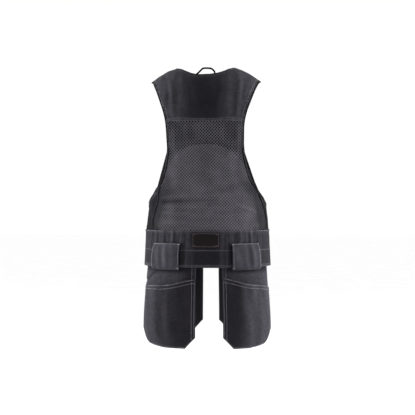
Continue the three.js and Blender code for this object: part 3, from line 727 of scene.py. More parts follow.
def catmull_rom(corners: Array, each: int) -> Array:
    """A smooth open curve through points, with even chords in mind.

    Args:
        corners: the points, one to a row.
        each: how many steps lie between two of them.

    Returns:
        The curve's points, one to a row.
    """
    pts = np.vstack([2 * corners[0] - corners[1], corners, 2 * corners[-1] - corners[-2]])
    out = []
    for i in range(len(corners) - 1):
        p0, p1, p2, p3 = pts[i : i + 4]
        pairs = ((p0, p1), (p1, p2), (p2, p3))
        d0, d1, d2 = (max(float(np.linalg.norm(b - a)) ** 0.5, 1e-4) for a, b in pairs)
        t1 = ((p1 - p0) / d0 - (p2 - p0) / (d0 + d1) + (p2 - p1) / d1) * d1
        t2 = ((p2 - p1) / d1 - (p3 - p1) / (d1 + d2) + (p3 - p2) / d2) * d1
        t = np.arange(each)[:, None] / each
        out.append(p1 + t1 * t + (-3 * p1 + 3 * p2 - 2 * t1 - t2) * t**2 + (2 * p1 - 2 * p2 + t1 + t2) * t**3)
    return np.vstack([*out, corners[-1]])


def inset(places: Array, side: float, distance: Array | float) -> Array:
    """Places moved over the cloth.

    Args:
        places: angles and runs, one place to a row.
        side: which side of the way along them the cloth lies on.
        distance: how far to move.

    Returns:
        The moved places.
    """
    angle, run = places.T
    before, after = np.vstack([places[:1], places[:-1]]), np.vstack([places[1:], places[-1:]])
    step = SLOPE_STEP
    across = (FORM.bare(angle + step, run) - FORM.bare(angle - step, run)) / (2 * step)
    up = (FORM.bare(angle, run + step) - FORM.bare(angle, run - step)) / (2 * step)
    along, rise = (after - before).T
    ee, ff, gg = (across**2).sum(1), (across * up).sum(1), (up**2).sum(1)
    turn, lift = ff * along + gg * rise, -(ee * along + ff * rise)
    size = np.sqrt(ee * turn**2 + 2 * ff * turn * lift + gg * lift**2)
    share = side * distance / size
    return np.stack([angle + turn * share, run + lift * share], axis=1)


def line_through(places: Array, key: int, value: int) -> Edge:
    """A broken line through places, from one of their numbers to the other, level past its ends."""
    rows = places[np.argsort(places[:, key])]
    return lambda at: np.interp(at, rows[:, key], rows[:, value])


def armhole_edge(side: Side) -> Array:
    """An armhole's edge, from the shoulder ridge down the back, under the arm and up the front."""
    tip = float(FORM.angle_at_reach(SHOULDER_HALF_WIDTH, -SHOULDER_DROP - CROWN_HEIGHT))
    start = (tip, float(FORM.ridge_run(tip)))
    table = np.array(ARMHOLE)
    runs = -table[:, 0] * ARMHOLE_BOTTOM
    back = [start, *zip(FORM.angle_at_reach(table[:, 1] * SHOULDER_HALF_WIDTH, runs), runs)]
    front = [start, *zip(FORM.angle_at_reach(table[:, 2] * SHOULDER_HALF_WIDTH, runs), runs)]
    turned = [(180 - angle, run) for angle, run in reversed(front)]
    corners = np.array([*back, (ARMHOLE_LOWEST_ANGLE, -ARMHOLE_BOTTOM), *turned])
    curve = catmull_rom(corners * [3, 1], 9)
    return curve * [side.value / 3, 1]


def neck_edge() -> tuple[Array, Array, Array]:
    """The neck's edge from the zip up the wearer's left, across the back and down the right.

    Returns:
        The left front part, the back part and the whole.
    """
    drop = FRONT_NECK_DROP * (1 - np.linspace(0, 1, 43))
    reach = NECK_HALF_WIDTH - (NECK_HALF_WIDTH - 0.4) * (drop / FRONT_NECK_DROP) ** 1.35
    angle = 180 - FORM.angle_at_reach(reach, -CROWN_HEIGHT)
    front = np.stack([angle, FORM.ridge_run(angle) - drop], axis=1)
    reach = np.sin(np.radians(90 - 180 * np.linspace(0, 1, 61)[1:-1]))
    angle = FORM.angle_at_reach(NECK_HALF_WIDTH * reach, -CROWN_HEIGHT)
    hollow = BACK_NECK_DROP * (1 - np.abs(reach) ** 3.2) ** 0.8
    back = np.stack([angle, FORM.ridge_run(angle) - hollow], axis=1)
    mirrored = front[::-1] * [-1, 1]
    return front, back, np.vstack([front, back, mirrored])


class Armhole:
    """The edges that the pieces round one armhole share, as angles without their sign."""

    def __init__(self, side: Side, distance: float) -> None:
        """Moves the armhole's edge by `distance` over the cloth."""
        places = inset(armhole_edge(side), side.value, distance) * [side.value, 1]
        lowest = int(np.argmin(places[:, 1]))
        self.back = line_through(places[: lowest + 1], 1, 0)
        self.front = line_through(places[lowest:], 1, 0)
        self.under = line_through(places[places[:, 1] < -0.6 * ARMHOLE_BOTTOM], 0, 1)
        self.bottom = float(places[lowest, 1])


# Cloth is cut to reach into its binding, and what laps over a neighbour reaches this far onto it.
TUCKED = 4.0
LAP = 5.0
ARMHOLES = {side: Armhole(side, TUCKED) for side in Side}


def mesh_seam(side: Side) -> Edge:
    """The mesh back's edge on one side, as an angle without its sign."""
    table = np.array(MESH_SEAM)
    sewn = smooth_through(table[:, 0], table[:, 1 if side is Side.LEFT else 2])
    hole = ARMHOLES[side]

    def edge(run: Array) -> Array:
        """The angle at a run."""
        seam = sewn(-np.asarray(run, float) / BODY_LENGTH)
        return np.where(run < hole.bottom, seam, np.minimum(seam, hole.back(run)))

    return edge


SEAMS = {side: mesh_seam(side) for side in Side}


# Pieces


def only(obj: bpy.types.Object) -> None:
    """Selects one object and nothing else."""
    bpy.ops.object.select_all(action="DESELECT")
    obj.select_set(True)
    bpy.context.view_layer.objects.active = obj


def bake_modifiers(obj: bpy.types.Object) -> None:
    """Applies an object's modifiers in their order."""
    only(obj)
    for modifier in list(obj.modifiers):
        bpy.ops.object.modifier_apply(modifier=modifier.name)


def dress(
    obj: bpy.types.Object, material: bpy.types.Material, stands_for: Sequence[str] = ()
) -> bpy.types.Object:
    """Gives a finished piece its material and its body, and hides the CAD nodes that it stands for.

    Args:
        obj: the piece.
        material: its finish.
        stands_for: names of CAD nodes.

    Returns:
        The piece.
    """
    obj.data.materials.clear()
    obj.data.materials.append(material)
    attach(obj, "root")
    if stands_for:
        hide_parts(*stands_for)
    LOG.info("%s: %d faces", obj.name, len(obj.data.polygons))
    return obj


def solid_mesh(
    name: str, points: Array, faces: Sequence[Sequence[int]], uvs: Array | None = None
) -> bpy.types.Object:
    """An object from points in millimetres.

    Args:
        name: the piece's name.
        points: one point to a row.
        faces: each face's corners.
        uvs: one pair of metres to each corner of each face.

    Returns:
        The object, shaded smooth but for its sharp edges.
    """
    mesh = bpy.data.meshes.new(name)
    mesh.from_pydata((np.asarray(points) * MM).tolist(), [], [list(map(int, f)) for f in faces])
    layer = mesh.uv_layers.new(name="UVMap")
    if uvs is not None:
        layer.data.foreach_set("uv", np.asarray(uvs, np.float32).ravel())
    obj = bpy.data.objects.new(name, mesh)
    bpy.context.scene.collection.objects.link(obj)
    only(obj)
    bpy.ops.object.shade_smooth_by_angle(angle=math.radians(42))
    return obj


@dataclass(frozen=True)
class Outline:
    """A sheet's four edges on the body.

    Attributes:
        lesser: the angle of its edge at the lesser angle, for a run.
        greater: the angle of its edge at the greater angle, for a run.
        bottom: the run of its lower edge, for an angle.
        top: the run of its upper edge, for an angle.
    """

    lesser: Edge
    greater: Edge
    bottom: Edge
    top: Edge

    def angle(self, u: Array, run: Array) -> Array:
        """The angle at a share across, counted from the greater angle, so that the cloth faces outwards."""
        high, low = self.greater(run), self.lesser(run)
        return high + (low - high) * u

    def meet(self, edge: Edge, u: Array) -> Array:
        """The run at which the line at each share across meets an edge."""
        low, high = np.full(u.shape, -2 * BODY_LENGTH), np.full(u.shape, CROWN_RUN)
        for _ in range(36):
            middle = (low + high) / 2
            below = middle < edge(self.angle(u, middle))
            low, high = np.where(below, middle, low), np.where(below, high, middle)
        return (low + high) / 2

    def places(self, u: Array, v: Array) -> tuple[Array, Array]:
        """Angles and runs on a grid of shares across and up."""
        low, high = self.meet(self.bottom, u)[:, None], self.meet(self.top, u)[:, None]
        run = low + (high - low) * v[None, :]
        return self.angle(u[:, None], run), run


def level(value: float) -> Edge:
    """An edge that is the same everywhere."""
    return lambda at: np.full(np.shape(at), float(value))


class Sheet:
    """A sheet of cloth on a grid of shares, u from the greater angle to the lesser and v upwards."""

    def __init__(self, points: Array, u: Array, v: Array) -> None:
        """Keeps the grid's points and works out its normals and real lengths."""
        self.points, self.u, self.v = points, u, v
        across, up = np.gradient(points, axis=0), np.gradient(points, axis=1)
        self.normals = unit(np.cross(across, up))
        wide = np.linalg.norm(np.diff(points, axis=0), axis=2)
        tall = np.linalg.norm(np.diff(points, axis=1), axis=2)
        wide = np.vstack([np.zeros((1, len(v))), np.cumsum(wide, axis=0)])
        tall = np.hstack([np.zeros((len(u), 1)), np.cumsum(tall, axis=1)])
        self.across = wide - wide[len(u) // 2][None, :]
        self.up = tall
        self.from_side = np.minimum(wide, wide[-1][None, :] - wide)
        self.from_bottom, self.from_top = tall, tall[:, -1:] - tall

    @classmethod
    def on_body(
        cls,
        outline: Outline,
        columns: int | Array,
        rows: int | Array,
        lift: Callable[[Array, Array, Array, Array], Array] | float = 0.0,
        surface: Callable[[Array, Array, Array], Array] | None = None,
    ) -> "Sheet":
        """A sheet between four edges.

        Args:
            outline: the edges.
            columns: how many columns, or their shares.
            rows: how many rows, or their shares.
            lift: how far it stands off, or a function of u, v, angle and run.
            surface: what it lies on, by default the hanging cloth.

        Returns:
            The sheet.
        """
        u = np.linspace(0, 1, columns + 1) if isinstance(columns, int) else columns
        v = np.linspace(0, 1, rows + 1) if isinstance(rows, int) else rows
        angle, run = outline.places(u, v)
        uu, vv = np.meshgrid(u, v, indexing="ij")
        raised = lift(uu, vv, angle, run) if callable(lift) else np.full(uu.shape, lift)
        return cls((surface or FORM.cloth)(angle, run, raised), u, v)

    def at(self, u: Array, v: Array, lift: float = 0.0) -> tuple[Array, Array]:
        """Points and normals at shares across and up.

        Args:
            u: shares across.
            v: shares up.
            lift: how far the points stand off the sheet's middle.

        Returns:
            The points and the normals.
        """
        u, v = np.broadcast_arrays(np.asarray(u, float), np.asarray(v, float))
        i = np.clip(np.searchsorted(self.u, u, side="right") - 1, 0, len(self.u) - 2)
        j = np.clip(np.searchsorted(self.v, v, side="right") - 1, 0, len(self.v) - 2)
        s = ((u - self.u[i]) / (self.u[i + 1] - self.u[i]))[..., None]
        t = ((v - self.v[j]) / (self.v[j + 1] - self.v[j]))[..., None]

        def mixed(grid: Array) -> Array:
            """The grid's value between its points."""
            low = grid[i, j] * (1 - s) + grid[i + 1, j] * s
            high = grid[i, j + 1] * (1 - s) + grid[i + 1, j + 1] * s
            return low * (1 - t) + high * t

        normal = unit(mixed(self.normals))
        return mixed(self.points) + normal * lift, normal

    def build(
        self, name: str, thick: float, wear: Array | None = None, hems: Array | None = None, edge: float = 1.0
    ) -> bpy.types.Object:
        """Makes the cloth's mesh from a grid primitive and gives it its thickness.

        Args:
            name: the piece's name.
            thick: the cloth's thickness, or the hem's where there are hems.
            wear: how far each grid point takes the finish's second colour, for real wear and for painted
                light and shade, from 0 to 1.
            hems: the thickness at each grid point as a share of `thick`.
            edge: how much the open edges are faded.

        Returns:
            The object.
        """
        columns, rows = len(self.u) - 1, len(self.v) - 1
        bpy.ops.object.select_all(action="DESELECT")
        bpy.ops.mesh.primitive_grid_add(
            x_subdivisions=columns, y_subdivisions=rows, size=2, location=(0, 0, 0)
        )
        obj = bpy.context.object
        obj.name = obj.data.name = name
        mesh = obj.data
        flat = np.zeros(len(mesh.vertices) * 3, np.float32)
        mesh.vertices.foreach_get("co", flat)
        flat = flat.reshape(-1, 3)
        i = np.rint((flat[:, 0] + 1) / 2 * columns).astype(int)
        j = np.rint((flat[:, 1] + 1) / 2 * rows).astype(int)
        mesh.vertices.foreach_set("co", (self.points[i, j] * MM).astype(np.float32).ravel())
        corner = np.zeros(len(mesh.loops), np.int32)
        mesh.loops.foreach_get("vertex_index", corner)
        real = np.stack([self.across[i, j], self.up[i, j]], axis=1)[corner] * MM
        mesh.uv_layers[0].data.foreach_set("uv", real.astype(np.float32).ravel())
        mesh.uv_layers[0].name = "UVMap"
        near = np.minimum(self.from_side, np.minimum(self.from_bottom, self.from_top))
        faded_and_painted_light = edge * np.exp(-near / 5.0) + (0 if wear is None else wear)
        layer = mesh.attributes.new("wear", "FLOAT", "POINT")
        layer.data.foreach_set("value", np.clip(faded_and_painted_light, 0, 1)[i, j].astype(np.float32))
        solidify = obj.modifiers.new("cloth", "SOLIDIFY")
        solidify.thickness, solidify.offset, solidify.use_even_offset = thick * MM, 0.0, False
        if hems is not None:
            group = obj.vertex_groups.new(name="hems")
            weight = np.round(np.clip(hems, 0, 1)[i, j], 3)
            for value in np.unique(weight):
                group.add(np.flatnonzero(weight == value).tolist(), float(value), "REPLACE")
            solidify.vertex_group = "hems"
        bake_modifiers(obj)
        bpy.ops.object.shade_smooth_by_angle(angle=math.radians(50))
        return obj


class Stitches:
    """Lines of sewing stitches on one piece, gathered into one mesh."""

    def __init__(self, name: str, pale: bool, pitch: float = 4.2, width: float = 0.85) -> None:
        """Starts an empty set of stitches.

        Args:
            name: the piece's name.
            pale: whether the thread is the pale one.
            pitch: from one stitch to the next.
            width: the thread's width as drawn, wider than the real 0.6 mm so that it shows.
        """
        self.name, self.pale, self.pitch, self.width = name, pale, pitch, width
        self.colour: bpy.types.Material | None = None
        self.centres: list[Array] = []
        self.ways: list[Array] = []
        self.ups: list[Array] = []
        self.sizes: list[Array] = []

    def line(self, points: Array, normals: Array, pitch: float | None = None) -> None:
        """Adds a line of stitches along a path.

        Args:
            points: the path.
            normals: the cloth's normals along it.
            pitch: from one stitch to the next, if not the set's own.
        """
        pitch = pitch or self.pitch
        along = np.concatenate([[0], np.cumsum(np.linalg.norm(np.diff(points, axis=0), axis=1))])
        count = max(int(along[-1] / pitch), 1)
        starts = (np.arange(count) + 0.12) * along[-1] / count
        ends = (np.arange(count) + 0.88) * along[-1] / count
        first = np.stack([np.interp(starts, along, points[:, k]) for k in range(3)], axis=1)
        last = np.stack([np.interp(ends, along, points[:, k]) for k in range(3)], axis=1)
        up = np.stack([np.interp((starts + ends) / 2, along, normals[:, k]) for k in range(3)], axis=1)
        self._add((first + last) / 2, last - first, up)

    def tack(self, point: Array, normal: Array, way: Array, length: float, breadth: float) -> None:
        """Adds a bar tack, a dense row of short stitches across `way`.

        Args:
            point: its middle.
            normal: the cloth's normal.
            way: the direction that it runs in.
            length: along `way`.
            breadth: across it.
        """
        way = unit(way - normal * float(way @ normal))
        across = np.cross(normal, way)
        count = max(int(length / 0.9), 3)
        spots = point + np.outer(np.linspace(-0.5, 0.5, count) * length, way)
        self._add(spots, np.tile(across * breadth, (count, 1)), np.tile(normal, (count, 1)))

    def _add(self, centres: Array, spans: Array, ups: Array) -> None:
        """Keeps stitches by their middles, their spans from end to end and the cloth's normals."""
        self.centres.append(centres)
        self.ways.append(unit(spans))
        self.sizes.append(np.linalg.norm(spans, axis=1))
        self.ups.append(unit(ups))

    @staticmethod
    def _model() -> tuple[Array, list[tuple[int, ...]]]:
        """One stitch as a rounded grain of length one, modelled once.

        Returns:
            Its points and its faces.
        """
        bpy.ops.object.select_all(action="DESELECT")
        bpy.ops.mesh.primitive_uv_sphere_add(segments=6, ring_count=4, radius=0.5, location=(0, 0, 0))
        grain = bpy.context.object
        bpy.ops.object.mode_set(mode="EDIT")
        bpy.ops.mesh.select_all(action="SELECT")
        bpy.ops.transform.rotate(value=math.pi / 2, orient_axis="Y", center_override=(0, 0, 0))
        bpy.ops.object.mode_set(mode="OBJECT")
        points = np.array([v.co for v in grain.data.vertices])
        faces = [tuple(p.vertices) for p in grain.data.polygons]
        bpy.data.objects.remove(grain)
        return points, faces

    def build(self, wardrobe: Wardrobe, slot: Slot) -> bpy.types.Object:
        """Makes the mesh of all the stitches.

        Args:
            wardrobe: the finishes.
            slot: the slot of the cloth that it is sewn to; not used.

        Returns:
            The dressed piece.
        """
        grain, faces = self._model()
        centres, ways, ups = (np.vstack(x) for x in (self.centres, self.ways, self.ups))
        sizes = np.concatenate(self.sizes)
        sides = unit(np.cross(ups, ways))
        ups = np.cross(ways, sides)
        points = (
            centres[:, None]
            + grain[None, :, 0:1] * (ways * sizes[:, None])[:, None]
            + grain[None, :, 1:2] * (sides * self.width)[:, None]
            + grain[None, :, 2:3] * (ups * self.width * 0.8)[:, None]
        ).reshape(-1, 3)
        many = [tuple(k + n * len(grain) for k in f) for n in range(len(centres)) for f in faces]
        obj = solid_mesh(self.name, points, many)
        thread = wardrobe.pale_thread if self.pale else wardrobe.grey_thread
        return dress(obj, thread if self.colour is None else self.colour)


def sweep(
    name: str, points: Array, inward: Array, normal: Array, section: Array, loops: bool
) -> bpy.types.Object:
    """A closed tape swept along a path.

    Args:
        name: the piece's name.
        points: the path.
        inward: the direction of the section's first number at each point.
        normal: the direction of its second number.
        section: the section's corners, going round.
        loops: whether the path closes on itself.

    Returns:
        The object.
    """
    count, corners = len(points), len(section)
    body = points[:, None] + inward[:, None] * section[None, :, 0:1] + normal[:, None] * section[None, :, 1:2]
    along = np.concatenate([[0], np.cumsum(np.linalg.norm(np.diff(points, axis=0), axis=1))])
    closing = along[-1] + float(np.linalg.norm(points[0] - points[-1]))
    sides = np.diff(np.vstack([section, section[:1]]), axis=0)
    round_it = np.concatenate([[0], np.cumsum(np.linalg.norm(sides, axis=1))])
    faces, uvs = [], []
    for i in range(count if loops else count - 1):
        n = (i + 1) % count
        ahead = along[n] if n else closing
        for k in range(corners):
            o = (k + 1) % corners
            faces.append((i * corners + k, i * corners + o, n * corners + o, n * corners + k))
            uvs += [
                (along[i], round_it[k]),
                (along[i], round_it[k + 1]),
                (ahead, round_it[k + 1]),
                (ahead, round_it[k]),
            ]
    if not loops:
        faces.append(tuple(range(corners))[::-1])
        faces.append(tuple(range((count - 1) * corners, count * corners)))
        uvs += [tuple(section[k]) for k in reversed(range(corners))] + [tuple(s) for s in section]
    flat = body.reshape(-1, 3)
    volume = sum(
        float(flat[f[0]] @ np.cross(flat[f[i]], flat[f[i + 1]])) for f in faces for i in (1, len(f) - 2)
    )
    if volume < 0:
        turned, at = [], 0
        for f in faces:
            turned += uvs[at : at + len(f)][::-1]
            at += len(f)
        faces, uvs = [f[::-1] for f in faces], turned
    return solid_mesh(name, flat, faces, np.array(uvs) * MM)


def frames_along(places: Array, side: float, loops: bool) -> tuple[Array, Array, Array]:
    """Points, inward directions and normals along places on the cloth.

    Args:
        places: angles and runs.
        side: on which side of the way along them the cloth lies.
        loops: whether they close on themselves.

    Returns:
        The three, one to a row.
    """
    points = FORM.cloth(*places.T)
    if loops:
        before, after = np.roll(points, 1, axis=0), np.roll(points, -1, axis=0)
    else:
        before, after = np.vstack([points[:1], points[:-1]]), np.vstack([points[1:], points[-1:]])
    normal = FORM.normals(*places.T)
    inward = unit(np.cross(normal, after - before) * side)
    return points, inward, normal


def off_body(angle: Array, run: Array, lift: Array) -> Array:
    """Points that stand off the body itself, without the cloth's folds.

    Args:
        angle: angles.
        run: runs.
        lift: how far they stand off.

    Returns:
        The points.
    """
    return FORM.bare(angle, run) + FORM.normals(angle, run) * lift[..., None]


@dataclass
class Yoke:
    """The woven yoke over the shoulders and the upper back.

    Attributes:
        flat: width and length of the cut; not used.
        area: flat area of the cut, in square metres; not used.
    """

    flat: tuple[float, float] = (0.39, 0.31)
    area: float = 0.069

    def build(self, wardrobe: Wardrobe) -> None:
        """Makes the yoke and its double stitched lower seam."""
        neck = line_through(inset(neck_edge()[1], -1, TUCKED), 0, 1)
        neck_angle = float(FORM.angle_at_reach(NECK_HALF_WIDTH + TUCKED, -CROWN_HEIGHT))

        def top(angle: Array) -> Array:
            """The neck, and the shoulder ridge beside it."""
            ridge = FORM.ridge_run(angle) - RIDGE_GAP
            return np.where(np.abs(angle) < neck_angle, np.minimum(neck(angle), ridge), ridge)

        outline = Outline(
            lambda run: -ARMHOLES[Side.RIGHT].back(run),
            ARMHOLES[Side.LEFT].back,
            level(-YOKE_SEAM - LAP),
            top,
        )

        def lift(u: Array, v: Array, angle: Array, run: Array) -> Array:
            """The lap over the mesh, with the puckers that its stitches pull."""
            near = np.exp(-(((run + YOKE_SEAM + LAP) / 11) ** 2))
            pucker = np.sin(angle * 1.05) + 0.7 * np.sin(angle * 0.61 + 1.3)
            return 1.25 * smooth_step(-run, YOKE_SEAM - 6, YOKE_SEAM) + 0.45 * near * pucker

        sheet = Sheet.on_body(outline, 130, 84, lift)
        angle, run = outline.places(sheet.u, sheet.v)
        # Painted light: the yoke is drawn paler away from the centre back, where the side lights fall.
        wear = 0.66 * smooth_step(np.abs(angle), 2, 25) * (0.86 + 0.14 * np.sin(angle * 0.75 + run * 0.012))
        piece = sheet.build("yoke_cloth", CLOTH, wear)
        dress(piece, wardrobe.canvas, ["yoke"])
        thread = Stitches("yoke_seam_stitches", pale=False)
        for rise in (2.2, 8.6):
            v = (rise / sheet.up[:, -1]).mean()
            thread.line(*sheet.at(np.linspace(0.02, 0.98, 160), np.full(160, v), CLOTH / 2 + 0.1))
        stitches = thread.build(wardrobe, Slot.CANVAS)


def painted_knit_shade(angle: Array, run: Array) -> Array:
    """Painted light and shade of the back's knit: darker by its sides and in fold valleys, paler on fold
    crests.
    """
    seam = np.where(angle > 0, SEAMS[Side.LEFT](run), SEAMS[Side.RIGHT](run))
    low = smooth_step(-run, 330, 460)
    sides = smooth_step(np.abs(angle), seam - 32, seam) * (0.2 + 0.5 * low)
    flanks = (0.26 * smooth_step(angle, -5, 30) + 0.2 * smooth_step(-angle, 20, 45)) * low
    flanks += 0.3 * smooth_step(-angle, 38, 58) * low
    # Painted shade: above the arch, where the knit is a single layer, it is drawn darker.
    arch = -ARCH_PEAK - (ARCH_FOOT - ARCH_PEAK) * (angle / 48) ** 2
    alone = 0.24 * smooth_step(run - arch, -5, 5)
    return np.clip(sides + flanks + alone - 0.065 * FORM.relief(angle, run), -0.3, 0.8)


@dataclass
class AirMesh:
    """A net of knitted mesh with real holes, in a staggered pattern.

    The real cells are about 7 mm across and 7.5 mm down, and are drawn two fifths coarser so that they show.

    Attributes:
        across: from one hole to the next in a row.
        down: from one hole to the next in a column.
        radius: of a hole.
        thick: of the knit.
        knot: how far the crossings stand out of the net.
        layer: how far the net lies off the cloth's middle.
    """

    across: float = 9.8
    down: float = 10.4
    radius: float = 3.38
    thick: float = 0.9
    knot: float = 0.35
    layer: float = 0.0

    def _angles(self, reach: Array, run: Array) -> Array:
        """Angles at lengths over the cloth from the centre back."""
        angles = np.linspace(-95, 95, 381)
        levels = np.linspace(float(run.min()) - 1, float(run.max()) + 1, 40)
        points = FORM.bare(angles[None, :], levels[:, None])
        steps = np.linalg.norm(np.diff(points, axis=1), axis=2)
        length = np.hstack([np.zeros((len(levels), 1)), np.cumsum(steps, axis=1)])
        length -= length[:, [190]]
        place = (run - levels[0]) / (levels[1] - levels[0])
        row = np.clip(place.astype(int), 0, len(levels) - 2)
        share = place - row
        out = np.zeros(run.shape)
        for i in np.unique(row):
            here = row == i
            low = np.interp(reach[here], length[i], angles)
            high = np.interp(reach[here], length[i + 1], angles)
            out[here] = low + (high - low) * share[here]
        return out

    def build(self, name: str, outline: Outline, side: Side | None) -> bpy.types.Object:
        """Makes the net inside an outline.

        Args:
            name: the piece's name.
            outline: its edges.
            side: the half to make, or None for both.

        Returns:
            The object.
        """
        low = float(outline.bottom(np.zeros(1))[0])
        high = float(np.max(outline.top(np.linspace(-70, 70, 141))))
        rows = np.arange(int(2 * low / self.down) - 2, int(2 * high / self.down) + 3)
        i, j = np.meshgrid(np.arange(-80, 81), rows)
        keep = (i + j) % 2 == 0
        i, j = i[keep], j[keep]
        x, y = i * self.across / 2, j * self.down / 2
        angle = self._angles(x, y)
        inside = (angle > outline.lesser(y)) & (angle < outline.greater(y))
        inside &= (y > outline.bottom(angle)) & (y < outline.top(angle))
        if side is Side.LEFT:
            inside &= i >= 0
        elif side is Side.RIGHT:
            inside &= i < 0
        i, j, x, y = i[inside], j[inside], x[inside], y[inside]
        tiles = len(i)
        # Each tile has one hole, and shares its four corners with its neighbours.
        steps = ((1, 0), (0, 1), (-1, 0), (0, -1))
        keys = np.stack([np.stack([i + a, j + b], 1) for a, b in steps], 1).reshape(-1, 2)
        corners, index = np.unique(keys, axis=0, return_inverse=True)
        index = index.reshape(tiles, 4)
        turn = np.radians(22.5 + 45 * np.arange(8))
        hole_x = x[:, None] + self.radius * np.cos(turn) * self.across / self.down
        hole_y = y[:, None] + self.radius * np.sin(turn)
        flat_x = np.concatenate([corners[:, 0] * self.across / 2, hole_x.ravel()])
        flat_y = np.concatenate([corners[:, 1] * self.down / 2, hole_y.ravel()])
        angle = self._angles(flat_x, flat_y)
        run = np.clip(flat_y, low, outline.top(angle))
        angle = np.clip(angle, outline.lesser(run), outline.greater(run))
        lift = np.full(len(run), self.layer - 0.35 * self.knot)
        lift[: len(corners)] += self.knot
        points = FORM.cloth(angle, run, lift)
        hole = len(corners) + 8 * np.arange(tiles)[:, None] + np.arange(8)[None, :]
        faces: list[tuple[int, ...]] = []
        for k in range(4):
            a, b = index[:, k], index[:, (k + 1) % 4]
            p, q, before = hole[:, 2 * k], hole[:, 2 * k + 1], hole[:, (2 * k - 1) % 8]
            faces += list(zip(a.tolist(), p.tolist(), q.tolist(), b.tolist()))
            faces += list(zip(a.tolist(), before.tolist(), p.tolist()))
        real = np.stack([flat_x, flat_y], axis=1) * MM
        obj = solid_mesh(name, points, faces, real[np.concatenate([np.array(f) for f in faces])])
        layer = obj.data.attributes.new("wear", "FLOAT", "POINT")
        layer.data.foreach_set("value", painted_knit_shade(angle, run).astype(np.float32))
        solidify = obj.modifiers.new("knit", "SOLIDIFY")
        solidify.thickness, solidify.offset = self.thick * MM, 0.0
        bake_modifiers(obj)
        bpy.ops.object.shade_smooth_by_angle(angle=math.radians(50))
        return obj


@dataclass
class MeshBack:
    """The mesh back and the second, arched layer inside it.

    Attributes:
        flat: width and length of half the mesh back; not used.
        area: its flat area, in square metres; not used.
        inner_flat: width and length of the arched layer; not used.
        inner_area: its flat area, in square metres; not used.
        inner_gap: how far the arched layer lies inside the outer one.
    """

    flat: tuple[float, float] = (0.20, 0.37)
    area: float = 0.042
    inner_flat: tuple[float, float] = (0.40, 0.29)
    inner_area: float = 0.083
    inner_gap: float = 1.5
    ground_gap: float = 3.3
    ground_area: float = 0.124

    def build(self, wardrobe: Wardrobe) -> None:
        """Makes both layers."""
        left, right = SEAMS[Side.LEFT], SEAMS[Side.RIGHT]
        outline = Outline(lambda run: -right(run), left, level(BAND_TOP + 0.4), level(-YOKE_SEAM - 0.4))
        for side in Side:
            piece = AirMesh().build(f"mesh_back_{side.name.lower()}_half", outline, side)
            dress(piece, wardrobe.knit, ["mesh_back"])

        # The closed ground reaches down behind the band, so no light shows between them.
        behind = Outline(lambda run: -right(run), left, level(BAND_TOP - 12), level(-YOKE_SEAM - 0.4))
        ground = Sheet.on_body(behind, 110, 110, -self.ground_gap)
        piece = ground.build("mesh_back_ground", 0.8, edge=0.0)
        dress(piece, wardrobe.ground, ["mesh_back"])

        def arch(angle: Array) -> Array:
            """The arched upper edge."""
            foot = np.where(angle > 0, left(np.array(-ARCH_FOOT)), right(np.array(-ARCH_FOOT)))
            return -ARCH_PEAK - (ARCH_FOOT - ARCH_PEAK) * np.minimum(np.abs(angle) / foot, 1) ** 2

        inner = Outline(
            lambda run: -right(run) + 0.4, lambda run: left(run) - 0.4, level(BAND_TOP + 0.8), arch
        )
        layer = Sheet.on_body(inner, 130, 90, -self.inner_gap)
        # Painted shade on the arched layer as on the outer knit, and a painted pale line along its edges,
        # which shows at the arch.
        shade = np.clip(painted_knit_shade(*inner.places(layer.u, layer.v)), 0, 0.8)
        piece = layer.build("mesh_inner_cloth", 0.8, shade, edge=-0.2)
        dress(piece, wardrobe.lining, ["mesh_inner_layer"])


@dataclass
class SidePanel:
    """The plain side panel under one armhole.

    Attributes:
        side: the wearer's side.
        flat: width and length of the cut; not used.
        area: flat area of the cut, in square metres; not used.
    """

    side: Side
    flat: tuple[float, float] = (0.19, 0.2)
    area: float = 0.021

    def build(self, wardrobe: Wardrobe) -> None:
        """Makes the panel, which laps over the mesh back, and its seam stitches."""
        seam = SEAMS[self.side]
        hole = ARMHOLES[self.side]

        def back(run: Array) -> Array:
            """The edge over the mesh, which rounds off the mesh's lower corner."""
            down = -np.asarray(run, float)
            flare = 9 * smooth_step(down, 400, 450) - 4 * smooth_step(down, 450, 520)
            corner = 13 * np.maximum((down - (-BAND_TOP - 34)) / 34, 0) ** 2.5
            return seam(run) - (LAP + flare) / DEGREE_MM - corner

        front = level(FRONT_SEAM_ANGLE)
        if self.side is Side.LEFT:
            edges = (back, front)
        else:
            edges = (lambda run: -front(run), lambda run: -back(run))
        outline = Outline(*edges, level(BAND_TOP - BEHIND_BAND), lambda angle: hole.under(np.abs(angle)))

        def lift(u: Array, v: Array, angle: Array, run: Array) -> Array:
            """The lap over the mesh, which lies flat again where it goes behind the band."""
            lap = 1.9 * smooth_step(seam(run) - np.abs(angle), -2.0, 0.3)
            return lap * smooth_step(run, BAND_TOP - 3, BAND_TOP + 4)

        sheet = Sheet.on_body(outline, 56, 44, lift)
        name = self.side.name.lower()
        angle, run = outline.places(sheet.u, sheet.v)
        rub_and_painted_light = 0.12 * np.exp(-((np.abs(angle) - back(run) - 3.2) / 1.6) ** 2)
        piece = sheet.build(f"side_panel_{name}_cloth", CLOTH, rub_and_painted_light, edge=0.1)
        dress(piece, wardrobe.side_cloth_painted_shade, [f"side_panel_{name}"])
        thread = Stitches(f"side_seam_{name}_stitches", pale=False)
        u = 0.985 if self.side is Side.LEFT else 0.015
        thread.line(*sheet.at(np.full(60, u), np.linspace(0.02, 0.97, 60), CLOTH / 2 + 0.1))
        stitches = thread.build(wardrobe, Slot.CANVAS)


